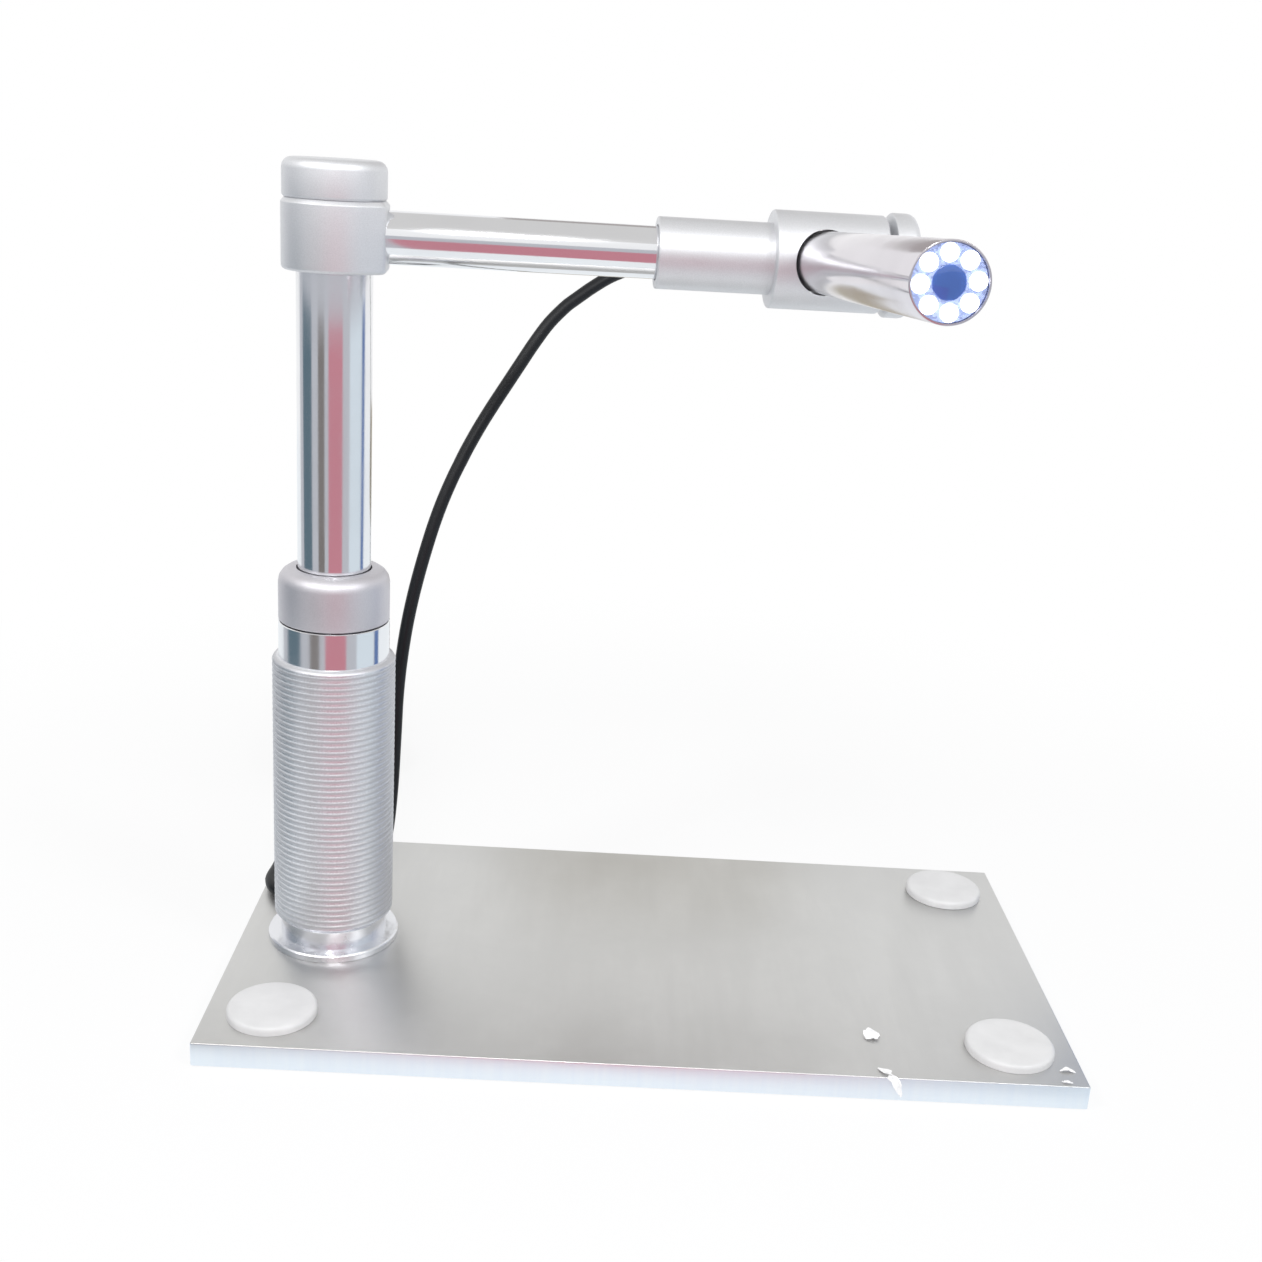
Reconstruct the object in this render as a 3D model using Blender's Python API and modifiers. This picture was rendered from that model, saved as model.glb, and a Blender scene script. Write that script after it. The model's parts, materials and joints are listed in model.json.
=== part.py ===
"""A USB pen microscope held by a clamp arm on a column stand.

Metres, +Z up. The origin is the middle of the base plate's underside. +X runs along the plate from the
column to its free end, and -Y is the front, the way that the microscope faces at rest.
Turned pieces are profiles of (radius, height) points about their own axis, given down the outer side.
The most skilful feature is the lock: a split taper collet in the ribbed handle, closed by a collar.
"""

import math

import bmesh
import bpy
from mathutils import Matrix, Vector

# Fits and facets shared by all pieces
GAP = 0.0003
OVERRUN = 0.002
MERGE_DISTANCE = 0.00001
SEGMENTS_HANDLE = 28
SEGMENTS = 24
SEGMENTS_INNER = 16
SEGMENTS_TINY = 8
FILLET_STEPS = 3
ROUND_PROFILE_SHARE = 0.5
SHARP_ANGLE = math.radians(32)

# Base plate
PLATE_LENGTH = 0.180
PLATE_DEPTH = 0.095
PLATE_THICKNESS = 0.0052
PLATE_EDGE_BREAK = 0.0003

# Round pads near the plate's corners
PAD_RADIUS = 0.0092
PAD_THICKNESS = 0.0017
PAD_EDGE_ROUND = 0.0005
PAD_SIDE_INSET = 0.0136
PAD_FRONT_INSET = 0.0126

# Column place on the plate, and its foot ring
COLUMN_INSET = 0.0200
FOOT_RING_RADIUS = 0.01445
FOOT_RING_HEIGHT = 0.0013
FOOT_RING_CHAMFER = 0.0004

# Screw that holds the column from below
BASE_SCREW_RADIUS = 0.0029
BASE_SCREW_HEAD_RADIUS = 0.0055
BASE_SCREW_HEAD_HEIGHT = 0.0026
BASE_SCREW_RECESS = 0.0004
BASE_SCREW_REACH = 0.0123
HEX_SOCKET_RADIUS = 0.0019
HEX_SOCKET_DEPTH = 0.0016
HEX_SIDES = 6

# Ribbed handle that carries the column
NECK_RADIUS = 0.01164
NECK_HEIGHT = 0.0037
GRIP_RADIUS = 0.01306
GRIP_LENGTH = 0.0588
GRIP_CHAMFER = 0.0014
GRIP_RING_COUNT = 46
GRIP_RING_DEPTH = 0.0003
BAND_RADIUS = 0.01168
BAND_HEIGHT = 0.0052
BAND_SHOULDER = 0.0010
SPIGOT_RADIUS = 0.0102
SPIGOT_HEIGHT = 0.0078
HANDLE_BORE_RADIUS = 0.0092
HANDLE_FLOOR = 0.0069

# Split collet and the lock collar that closes it
COLLET_LENGTH = 0.0120
COLLET_SHOULDER = 0.0010
COLLET_TAPER_HEIGHT = 0.0031
COLLET_TAPER_RUN = 0.0015
COLLET_SLOT_WIDTH = 0.0009
COLLET_SLOT_PAIRS = 3
COLLET_ROOT = 0.0030
COLLAR_RADIUS = 0.01164
COLLAR_LIP = 0.0015
COLLAR_ROUND = 0.0030
COLLAR_EDGE_BREAK = 0.0003

# Column tube and what closes its two ends
TUBE_RADIUS = 0.0076
TUBE_WALL = 0.0012
TUBE_ABOVE_COLLAR = 0.0628
TUBE_PLUG_DEPTH = 0.0080
GUIDE_HEIGHT = 0.0045
STUD_RADIUS = 0.0030
STUD_IN_CAP = 0.0045

# Elbow head and its lock cap
HEAD_RADIUS = 0.01047
HEAD_HEIGHT = 0.0135
HEAD_CHAMFER_LOW = 0.0005
HEAD_CHAMFER_HIGH = 0.0008
HEAD_SOCKET_DEPTH = 0.0021
CAP_RADIUS = 0.01025
CAP_HEIGHT = 0.0075
CAP_ROUND = 0.0020

# Arm, measured along its own axis from the column's axis
ARM_TURN = math.radians(4.1)
ARM_ABOVE_HEAD_BASE = 0.00695
ARM_RADIUS = 0.00523
ARM_WALL = 0.0010
ARM_START = 0.0087
ARM_LENGTH = 0.0730
ARM_STUD_RADIUS = 0.0025
ARM_STUD_LENGTH = 0.0043
ARM_PLUG_DEPTH = 0.0110
PIVOT_SCREW_RADIUS = 0.0015
PIVOT_SCREW_LENGTH = 0.0120
PIVOT_HEAD_RADIUS = 0.0030
PIVOT_HEAD_HEIGHT = 0.0019
PIVOT_WALL = 0.0012

# Clamp that turns on the arm's end
SLEEVE_RADIUS = 0.00711
SLEEVE_START = 0.0637
SLEEVE_WEB = 0.0045
SLEEVE_CHAMFER = 0.0003
CLAMP_RADIUS = 0.00975
CLAMP_LENGTH = 0.0227
CLAMP_EDGE_BREAK = 0.0004
MICROSCOPE_PLACE = 0.01013
SHOE_RADIUS = 0.0047
SHOE_THICKNESS = 0.0023
SHOE_EDGE_BREAK = 0.0004
CLAMP_END_WALL = 0.0025
CLAMP_SCREW_RADIUS = 0.0025
KNOB_RADIUS = 0.0104
KNOB_THICKNESS = 0.0049
KNOB_STANDOFF = 0.0013
KNOB_ROUND = 0.0018
KNOB_EDGE_BREAK = 0.0004
KNOB_HOLE_DEPTH = 0.0024

# Microscope, measured along its axis from the arm's axis, front positive
MICROSCOPE_TILT = math.radians(2.65)
BARREL_RADIUS = 0.0061
BARREL_WALL = 0.0010
BARREL_FRONT = 0.0958
BARREL_REAR = -0.0150
BARREL_EDGE_BREAK = 0.0002
FACE_WALL = 0.00035
FACE_DEPTH = 0.0038
LED_COUNT = 8
LED_PHASE = math.radians(5.5)
LED_RADIUS = 0.00118
LED_HEIGHT = 0.0016
LED_CIRCLE_RADIUS = 0.00425
LED_BOARD_THICKNESS = 0.0012
LED_BOARD_HOLE_RADIUS = 0.0019
WINDOW_RADIUS = 0.0026
WINDOW_THICKNESS = 0.0016
WINDOW_EDGE_BREAK = 0.0003
LENS_CELL_BEHIND_BOARD = 0.0120
LENS_CELL_LENGTH = 0.0160
LENS_CELL_WALL = 0.0018
LENS_SEAT_WALL = 0.0010
LENS_THICKNESS = 0.0032
LENS_EDGE = 0.0014
CARRIAGE_WALL = 0.0009
CARRIAGE_STEM_LENGTH = 0.0200
CARRIAGE_HEAD_LENGTH = 0.0060
CARRIAGE_HEAD_FLOOR = 0.0012
CARRIAGE_FOCUS_ROOM = 0.0033
FOCUS_PIN_RADIUS = 0.0006
FOCUS_PIN_PLACE = 0.0160
FOCUS_PIN_TRAVEL = 0.0016
SENSOR_BOARD_THICKNESS = 0.0010
SENSOR_BOARD_RADIUS = 0.0045
SENSOR_SIDE = 0.0040
SENSOR_THICKNESS = 0.0009
REAR_SPIGOT_WALL = 0.0009
REAR_SPIGOT_LENGTH = 0.0220
REAR_CAP_LENGTH = 0.0062
REAR_WALL = 0.0035
REAR_ROUND = 0.0008
FOCUS_RING_RADIUS = 0.0068
FOCUS_RING_LENGTH = 0.0117
FOCUS_RING_ROUND = 0.0005
FOCUS_FLUTES = 16
FOCUS_FLUTE_RADIUS = 0.0007
FOCUS_FLUTE_DEPTH = 0.0003

# Strain relief
RELIEF_LENGTH = 0.0150
RELIEF_ROOT_RADIUS = 0.0030
RELIEF_TIP_RADIUS = 0.0020
RELIEF_RIBS = 5
RELIEF_RIB_DEPTH = 0.0004
RELIEF_RIB_SHARE = 0.55
RELIEF_TANG_RADIUS = 0.0023
RELIEF_TANG_LENGTH = 0.0020

# Cord, and the route that it takes behind the arm, down behind the handle and over the plate
CORD_RADIUS = 0.0015
CORD_SPACING = 0.0060
CORD_RESOLUTION = 2
ROUTE_FINE_STEPS = 24
CORD_NEAR_LENGTH = 0.0330
CORD_BRIDGE_LENGTH = 0.0330
CORD_UPPER_LENGTH = 0.0510
CORD_HANGING_LENGTH = 0.0960
CORD_ROUTE = (
    (0.0202, 0.0657, 0.1563),
    (0.0131, 0.0692, 0.1558),
    (0.0050, 0.0678, 0.1550),
    (-0.0045, 0.0628, 0.1534),
    (-0.0118, 0.0586, 0.1511),
    (-0.0183, 0.0550, 0.1479),
    (-0.0281, 0.0500, 0.1400),
    (-0.0374, 0.0440, 0.1259),
    (-0.0452, 0.0380, 0.1125),
    (-0.0510, 0.0330, 0.0992),
    (-0.0549, 0.0290, 0.0857),
    (-0.0577, 0.0260, 0.0720),
    (-0.0593, 0.0240, 0.0579),
    (-0.0597, 0.0225, 0.0460),
    (-0.0601, 0.0213, 0.0330),
    (-0.0610, 0.0203, 0.0215),
    (-0.0628, 0.0194, 0.0134),
    (-0.0672, 0.0182, 0.0083),
    (-0.0736, 0.0170, 0.0071),
    (-0.0772, 0.0157, 0.0071),
    (-0.0803, 0.0139, 0.0071),
    (-0.0828, 0.0135, 0.0071),
    (-0.0856, 0.0143, 0.0071),
    (-0.0877, 0.0165, 0.0071),
    (-0.0884, 0.0196, 0.0071),
    (-0.0883, 0.0260, 0.0071),
    (-0.0881, 0.0340, 0.0071),
    (-0.0880, 0.0420, 0.0071),
    (-0.0881, 0.0478, 0.0071),
    (-0.0886, 0.0530, 0.0058),
    (-0.0895, 0.0590, 0.0034),
    (-0.0909, 0.0660, 0.0020),
    (-0.0928, 0.0740, 0.0018),
    (-0.0951, 0.0820, 0.0020),
)

# Hank of the cord's spare length, lying behind the stand where the handle hides it
HANK_PLACE = (-0.0929, 0.1280, 0.0)
HANK_TURN = math.radians(100.2)
HANK_RUN = 0.0500
HANK_INNER_HALF_WIDTH = 0.0090
HANK_STEP = 0.0036
HANK_LAYER_PITCH = 0.0035
HANK_HALF_TURNS = 12
HANK_LAYER_HALF_TURNS = 3
HANK_FIRST_CLIMB = 3
HANK_RUN_SHARE = 0.6
HANK_WAIST_DRAW = 0.0035
HANK_RUN_STEPS = 4
HANK_FOLD_STEPS = 8
HANK_RESOLUTION = 1
TIE_WIDTH = 0.0050
TIE_THICKNESS = 0.0007
TIE_ROUND = 0.0020
TIE_EASE = 0.0005

# Tail from the hank's top to the plug, in the hank's own frame
TAIL_ROUTE = (
    (-0.0150, 0.0130, 0.0144),
    (-0.0100, 0.0100, 0.0168),
    (-0.0050, 0.0050, 0.0182),
    (0.0, 0.0014, 0.0188),
    (0.0040, 0.0, 0.0188),
)
TAIL_END = 0.0077

# USB plug at the cord's far end, lying on the hank
PLUG_WIDTH = 0.0155
PLUG_HEIGHT = 0.0080
PLUG_LENGTH = 0.0250
PLUG_ROUND = 0.0015
PLUG_NOSE_LENGTH = 0.0060
PLUG_NOSE_RADIUS = 0.0028
PLUG_POCKET_DEPTH = 0.0030
SHELL_WIDTH = 0.0120
SHELL_HEIGHT = 0.0045
SHELL_LENGTH = 0.0150
SHELL_WALL = 0.0004
TONGUE_THICKNESS = 0.0018
TONGUE_LENGTH = 0.0140

# Heights of the stand that follow from the sizes above
FOOT_RING_BASE = PLATE_THICKNESS + GAP
HANDLE_BASE = FOOT_RING_BASE + FOOT_RING_HEIGHT + GAP
GRIP_BASE = HANDLE_BASE + NECK_HEIGHT + GRIP_CHAMFER
GRIP_TOP = GRIP_BASE + GRIP_LENGTH
BAND_TOP = GRIP_TOP + BAND_SHOULDER + BAND_HEIGHT
SPIGOT_TOP = BAND_TOP + SPIGOT_HEIGHT
COLLET_SHOULDER_BASE = SPIGOT_TOP + GAP
COLLET_BASE = COLLET_SHOULDER_BASE - COLLET_LENGTH
COLLET_TAPER_BASE = COLLET_SHOULDER_BASE + COLLET_SHOULDER
COLLET_TOP = COLLET_TAPER_BASE + COLLET_TAPER_HEIGHT
COLLAR_TOP = COLLET_TOP + GAP + COLLAR_LIP
TUBE_BASE = COLLET_BASE
TUBE_TOP = COLLAR_TOP + TUBE_ABOVE_COLLAR
HEAD_BASE = TUBE_TOP + GAP - HEAD_SOCKET_DEPTH
HEAD_TOP = HEAD_BASE + HEAD_HEIGHT
CAP_BASE = HEAD_TOP + GAP
ARM_HEIGHT = HEAD_BASE + ARM_ABOVE_HEAD_BASE
COLUMN_X = COLUMN_INSET - PLATE_LENGTH / 2

# Places along the arm that follow
ARM_END = ARM_START + ARM_LENGTH
PIVOT_PLUG_BASE = ARM_END - ARM_PLUG_DEPTH
SLEEVE_END = ARM_END + GAP + SLEEVE_WEB
CLAMP_START = SLEEVE_END + GAP
CLAMP_END = CLAMP_START + CLAMP_LENGTH
MICROSCOPE_AXIS = CLAMP_START + MICROSCOPE_PLACE
PIVOT_HEAD_BASE = CLAMP_START + PIVOT_WALL + GAP
SHOE_FACE = MICROSCOPE_AXIS + BARREL_RADIUS + GAP
SHOE_BACK = SHOE_FACE + SHOE_THICKNESS
KNOB_START = CLAMP_END + KNOB_STANDOFF

# Places along the microscope that follow
BARREL_BORE = BARREL_RADIUS - BARREL_WALL
INSERT_RADIUS = BARREL_BORE - GAP
FACE_BORE = BARREL_RADIUS - FACE_WALL
FACE_FLOOR = BARREL_FRONT - FACE_DEPTH
LED_BOARD_BACK = FACE_FLOOR + GAP
LED_BASE = LED_BOARD_BACK + LED_BOARD_THICKNESS + GAP
CELL_FRONT = FACE_FLOOR - LENS_CELL_BEHIND_BOARD
CELL_BACK = CELL_FRONT - LENS_CELL_LENGTH
LENS_SEAT_RADIUS = INSERT_RADIUS - LENS_SEAT_WALL
FOCUS_RING_FRONT = BARREL_REAR - GAP
FOCUS_RING_BACK = FOCUS_RING_FRONT - FOCUS_RING_LENGTH
REAR_CAP_FRONT = FOCUS_RING_BACK - GAP
REAR_CAP_BACK = REAR_CAP_FRONT - REAR_CAP_LENGTH
SPIGOT_FRONT = REAR_CAP_FRONT + REAR_SPIGOT_LENGTH
SPIGOT_BORE = INSERT_RADIUS - REAR_SPIGOT_WALL
CARRIAGE_HEAD_BACK = SPIGOT_FRONT + CARRIAGE_FOCUS_ROOM
CARRIAGE_FRONT = CARRIAGE_HEAD_BACK + CARRIAGE_HEAD_LENGTH
CARRIAGE_STEM_RADIUS = SPIGOT_BORE - GAP
CARRIAGE_BACK = CARRIAGE_HEAD_BACK - CARRIAGE_STEM_LENGTH
FOCUS_PIN_CENTRE = CARRIAGE_HEAD_BACK - FOCUS_PIN_PLACE
RELIEF_ROOT = REAR_CAP_BACK - GAP
RELIEF_TIP = RELIEF_ROOT - RELIEF_LENGTH
CORD_START = RELIEF_TIP - GAP

# Hank heights and places that follow
CORD_DIAMETER = CORD_RADIUS * 2
HANK_BASE = TIE_THICKNESS + GAP + CORD_RADIUS
HANK_REVERSAL = HANK_FIRST_CLIMB + HANK_RUN_SHARE / 2
HANK_CLIMBS = range(HANK_FIRST_CLIMB, HANK_HALF_TURNS, HANK_LAYER_HALF_TURNS)
HANK_TOP = HANK_BASE + HANK_LAYER_PITCH * len(HANK_CLIMBS)
HANK_OUTER_HALF_WIDTH = HANK_INNER_HALF_WIDTH + HANK_STEP / 2 * HANK_LAYER_HALF_TURNS
TIE_HALF_WIDTH = HANK_OUTER_HALF_WIDTH - HANK_WAIST_DRAW + CORD_RADIUS + GAP + TIE_EASE
TIE_TOP = HANK_TOP + CORD_RADIUS + GAP + TIE_THICKNESS
PLUG_MIDDLE_HEIGHT = HANK_TOP + CORD_RADIUS + GAP + PLUG_HEIGHT / 2
PLUG_START = TAIL_END + GAP
PLUG_BODY_START = PLUG_START + PLUG_NOSE_LENGTH


def clear_scene():
    """Remove whatever the file opened with."""
    for item in list(bpy.data.objects):
        bpy.data.objects.remove(item, do_unlink=True)


def new_collection(name, hidden=False):
    """A collection in the scene, left out of the picture when it holds cutters."""
    collection = bpy.data.collections.new(name)
    collection.hide_render = hidden
    bpy.context.scene.collection.children.link(collection)
    return collection


def finish(name, colour, metallic, roughness):
    """A plain material with the look of one finish in the photo."""
    material = bpy.data.materials.new(name)
    material.use_nodes = True
    shader = material.node_tree.nodes["Principled BSDF"]
    shader.inputs["Base Color"].default_value = (*colour, 1.0)
    shader.inputs["Metallic"].default_value = metallic
    shader.inputs["Roughness"].default_value = roughness
    return material


clear_scene()
PARTS = new_collection("usb_digital_microscope")
CUTTERS = new_collection("cutters", hidden=True)
PLATE_METAL = finish("plate_metal", (0.70, 0.71, 0.70), 1.0, 0.30)
CHROME = finish("chrome", (0.80, 0.81, 0.83), 1.0, 0.08)
SATIN_METAL = finish("satin_metal", (0.66, 0.66, 0.69), 1.0, 0.32)
BARREL_METAL = finish("barrel_metal", (0.46, 0.43, 0.45), 1.0, 0.22)
STEEL = finish("steel", (0.50, 0.50, 0.51), 1.0, 0.35)
BRASS = finish("brass", (0.72, 0.55, 0.28), 1.0, 0.35)
PAD_PLASTIC = finish("pad_plastic", (0.86, 0.89, 0.91), 0.0, 0.35)
BLACK_PLASTIC = finish("black_plastic", (0.03, 0.03, 0.033), 0.0, 0.45)
BLACK_RUBBER = finish("black_rubber", (0.02, 0.02, 0.022), 0.0, 0.60)
CIRCUIT = finish("circuit_board", (0.05, 0.09, 0.16), 0.0, 0.45)
SENSOR = finish("sensor_glass", (0.05, 0.06, 0.07), 0.0, 0.10)
LED_WHITE = finish("led_white", (0.93, 0.95, 1.0), 0.0, 0.25)
BLUE_GLASS = finish("blue_glass", (0.06, 0.14, 0.45), 0.0, 0.05)
CLEAR_GLASS = finish("clear_glass", (0.80, 0.88, 0.92), 0.0, 0.05)


def new_part(name, data, look, parent=None):
    """Put a mesh or curve into the object's collection."""
    part = bpy.data.objects.new(name, data)
    data.materials.append(look)
    part.parent = parent
    PARTS.objects.link(part)
    return part


def new_cutter(name, mesh, parent=None):
    """Put a mesh that only cuts into the collection of cutters."""
    cutter = bpy.data.objects.new(name, mesh)
    cutter.parent = parent
    cutter.hide_render = True
    cutter.display_type = "WIRE"
    CUTTERS.objects.link(cutter)
    return cutter


def new_axis(name, place, turn, parent=None):
    """An empty whose Z axis is the axis of a group of pieces."""
    axis = bpy.data.objects.new(name, None)
    axis.location = place
    axis.rotation_euler = turn
    axis.parent = parent
    PARTS.objects.link(axis)
    return axis


def settle(part):
    """Replace a part's mesh by the shape that its modifiers give, smooth with sharp edges."""
    bpy.context.view_layer.update()
    graph = bpy.context.evaluated_depsgraph_get()
    rough = part.data
    look = rough.materials[0]
    mesh = bpy.data.meshes.new_from_object(part.evaluated_get(graph))
    part.modifiers.clear()
    part.data = mesh
    bpy.data.meshes.remove(rough)
    mesh.name = part.name
    mesh.materials.clear()
    mesh.materials.append(look)
    mesh.shade_smooth()
    mesh.set_sharp_from_angle(angle=SHARP_ANGLE)


def combine(part, other, operation):
    """Cut another shape out of a part, or join it on, and drop the other shape."""
    boolean = part.modifiers.new("Combine", "BOOLEAN")
    boolean.solver = "EXACT"
    boolean.operation = operation
    boolean.object = other
    settle(part)
    spent = other.data
    bpy.data.objects.remove(other, do_unlink=True)
    bpy.data.meshes.remove(spent)


def profile_mesh(name, profile):
    """The edges of a profile in the XZ plane, closed where it stays off the axis."""
    mesh = bpy.data.meshes.new(name)
    shape = bmesh.new()
    points = [shape.verts.new((radius, 0.0, height)) for radius, height in profile]
    for first, second in zip(points, points[1:]):
        shape.edges.new((first, second))
    if profile[0][0] > 0 and profile[-1][0] > 0:
        shape.edges.new((points[-1], points[0]))
    shape.to_mesh(mesh)
    shape.free()
    return mesh


def turned(name, profile, look, parent=None, segments=SEGMENTS):
    """A part turned about its own Z axis from a profile given down its outer side."""
    part = new_part(name, profile_mesh(name, profile), look, parent)
    screw = part.modifiers.new("Turn", "SCREW")
    screw.axis = "Z"
    screw.angle = math.tau
    screw.steps = segments
    screw.render_steps = segments
    screw.use_merge_vertices = True
    screw.merge_threshold = MERGE_DISTANCE
    settle(part)
    return part


def round_over(radius, top, rounding):
    """Profile points down a rounded edge at the top of a turned part."""
    points = []
    for step in range(FILLET_STEPS + 1):
        angle = math.pi / 2 * step / FILLET_STEPS
        across = radius - rounding + rounding * math.sin(angle)
        points.append((across, top - rounding + rounding * math.cos(angle)))
    return points


def round_under(radius, base, rounding):
    """Profile points down a rounded edge at the base of a turned part."""
    points = []
    for step in range(FILLET_STEPS + 1):
        angle = math.pi / 2 * step / FILLET_STEPS
        across = radius - rounding + rounding * math.cos(angle)
        points.append((across, base + rounding - rounding * math.sin(angle)))
    return points


def box_mesh(name, low, high):
    """A box between two opposite corners."""
    mesh = bpy.data.meshes.new(name)
    shape = bmesh.new()
    bmesh.ops.create_cube(shape, size=1.0)
    size = Vector(high) - Vector(low)
    bmesh.ops.scale(shape, vec=size, verts=shape.verts)
    bmesh.ops.translate(shape, vec=(Vector(low) + Vector(high)) / 2, verts=shape.verts)
    shape.to_mesh(mesh)
    shape.free()
    return mesh


def rod_mesh(name, radius, low, high, segments=SEGMENTS_INNER, angle=0.0):
    """A rod along Z between two heights."""
    mesh = bpy.data.meshes.new(name)
    shape = bmesh.new()
    place = Matrix.Translation((0.0, 0.0, (low + high) / 2)) @ Matrix.Rotation(angle, 4, "Z")
    bmesh.ops.create_cone(
        shape,
        cap_ends=True,
        segments=segments,
        radius1=radius,
        radius2=radius,
        depth=high - low,
        matrix=place,
    )
    shape.to_mesh(mesh)
    shape.free()
    return mesh


def bevelled(part, width, steps):
    """Break or round all of a part's edges."""
    bevel = part.modifiers.new("Edges", "BEVEL")
    bevel.width = width
    bevel.segments = steps
    bevel.limit_method = "ANGLE"
    settle(part)


def catmull_point(before, start, end, after, share):
    """A point between start and end on a smooth curve through four points."""
    square = share * share
    cube = square * share
    return (
        start * 2
        + (end - before) * share
        + (before * 2 - start * 5 + end * 4 - after) * square
        + (start * 3 - before - end * 3 + after) * cube
    ) / 2


def even_points(points, spacing):
    """Points a steady distance apart along a line of points, both ends kept."""
    lengths = [0.0]
    for first, second in zip(points, points[1:]):
        lengths.append(lengths[-1] + (second - first).length)
    count = max(1, round(lengths[-1] / spacing))
    result = []
    index = 0
    for step in range(count + 1):
        wanted = lengths[-1] * step / count
        while index < len(points) - 2 and lengths[index + 1] < wanted:
            index += 1
        share = (wanted - lengths[index]) / (lengths[index + 1] - lengths[index])
        result.append(points[index].lerp(points[index + 1], share))
    return result


def smooth_route(points, spacing):
    """Even points on a smooth curve, with its first and last stretches kept straight."""
    middle = points[1:-1]
    padded = [points[0]] + middle + [points[-1]]
    fine = []
    for index in range(len(middle) - 1):
        before, start, end, after = padded[index : index + 4]
        for step in range(ROUTE_FINE_STEPS):
            fine.append(catmull_point(before, start, end, after, step / ROUTE_FINE_STEPS))
    fine.append(middle[-1])
    return [points[0]] + even_points(fine, spacing) + [points[-1]]


def split_route(points, length):
    """Cut a route in two near a length from its start, a gap apart in the middle of a segment."""
    run = 0.0
    for index, (first, second) in enumerate(zip(points, points[1:])):
        run += (second - first).length
        if run >= length:
            break
    middle = (first + second) / 2
    half_gap = (second - first).normalized() * GAP / 2
    return points[: index + 1] + [middle - half_gap], [middle + half_gap] + points[index + 1 :]


def route_length(points):
    """Length along a line of points."""
    return sum((second - first).length for first, second in zip(points, points[1:]))


def least_gap(points, radius):
    """Least distance between a tube's walls where it passes itself, measured along its points."""
    fine = even_points(points, radius)
    apart = math.ceil(math.pi * radius * 2 / radius)
    least = math.inf
    for index, first in enumerate(fine):
        for second in fine[index + apart :]:
            least = min(least, (second - first).length)
    return least - radius * 2


def tube(name, points, radius, resolution, look, parent=None):
    """A round tube with closed ends along a line of points."""
    curve = bpy.data.curves.new(name, "CURVE")
    curve.dimensions = "3D"
    curve.bevel_depth = radius
    curve.bevel_resolution = resolution
    curve.use_fill_caps = True
    spline = curve.splines.new("POLY")
    spline.points.add(len(points) - 1)
    for target, point in zip(spline.points, points):
        target.co = (*point, 1.0)
    spline.use_smooth = True
    return new_part(name, curve, look, parent)


def build_base_plate(column_axis):
    """The flat plate, with a counterbored hole under the column."""
    half = Vector((PLATE_LENGTH / 2, PLATE_DEPTH / 2, 0.0))
    top = Vector((0.0, 0.0, PLATE_THICKNESS))
    plate = new_part("base_plate", box_mesh("base_plate", -half, half + top), PLATE_METAL)
    bevelled(plate, PLATE_EDGE_BREAK, 1)
    hole = rod_mesh("hole", BASE_SCREW_RADIUS + GAP, -OVERRUN, PLATE_THICKNESS + OVERRUN)
    combine(plate, new_cutter("hole", hole, column_axis), "DIFFERENCE")
    depth = BASE_SCREW_RECESS + BASE_SCREW_HEAD_HEIGHT + GAP
    recess = rod_mesh("recess", BASE_SCREW_HEAD_RADIUS + GAP, -OVERRUN, depth)
    combine(plate, new_cutter("recess", recess, column_axis), "DIFFERENCE")


def build_pads():
    """Four round pads, one near each corner of the plate."""
    base = PLATE_THICKNESS + GAP
    top = base + PAD_THICKNESS
    profile = [
        (0.0, top),
        *round_over(PAD_RADIUS, top, PAD_EDGE_ROUND),
        (PAD_RADIUS, base),
        (0.0, base),
    ]
    across = PLATE_LENGTH / 2 - PAD_SIDE_INSET
    along = PLATE_DEPTH / 2 - PAD_FRONT_INSET
    for name, side, end in (
        ("pad_front_left", -1, -1),
        ("pad_front_right", 1, -1),
        ("pad_rear_left", -1, 1),
        ("pad_rear_right", 1, 1),
    ):
        pad = turned(name, profile, PAD_PLASTIC, segments=SEGMENTS_INNER)
        pad.location = (across * side, along * end, 0.0)


def build_foot_ring(column_axis):
    """The thin ring between the plate and the handle."""
    top = FOOT_RING_BASE + FOOT_RING_HEIGHT
    hole = BASE_SCREW_RADIUS + GAP
    profile = [
        (hole, top),
        (FOOT_RING_RADIUS - FOOT_RING_CHAMFER, top),
        (FOOT_RING_RADIUS, top - FOOT_RING_CHAMFER),
        (FOOT_RING_RADIUS, FOOT_RING_BASE),
        (hole, FOOT_RING_BASE),
    ]
    turned("foot_ring", profile, CHROME, column_axis)


def build_base_screw(column_axis):
    """The socket screw that holds the handle to the plate from below."""
    head_top = BASE_SCREW_RECESS + BASE_SCREW_HEAD_HEIGHT
    profile = [
        (0.0, BASE_SCREW_REACH),
        (BASE_SCREW_RADIUS, BASE_SCREW_REACH),
        (BASE_SCREW_RADIUS, head_top),
        (BASE_SCREW_HEAD_RADIUS, head_top),
        (BASE_SCREW_HEAD_RADIUS, BASE_SCREW_RECESS),
        (0.0, BASE_SCREW_RECESS),
    ]
    screw = turned("base_screw", profile, STEEL, column_axis, SEGMENTS_INNER)
    depth = BASE_SCREW_RECESS + HEX_SOCKET_DEPTH
    socket = rod_mesh("socket", HEX_SOCKET_RADIUS, -OVERRUN, depth, HEX_SIDES)
    combine(screw, new_cutter("socket", socket, column_axis), "DIFFERENCE")


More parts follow.
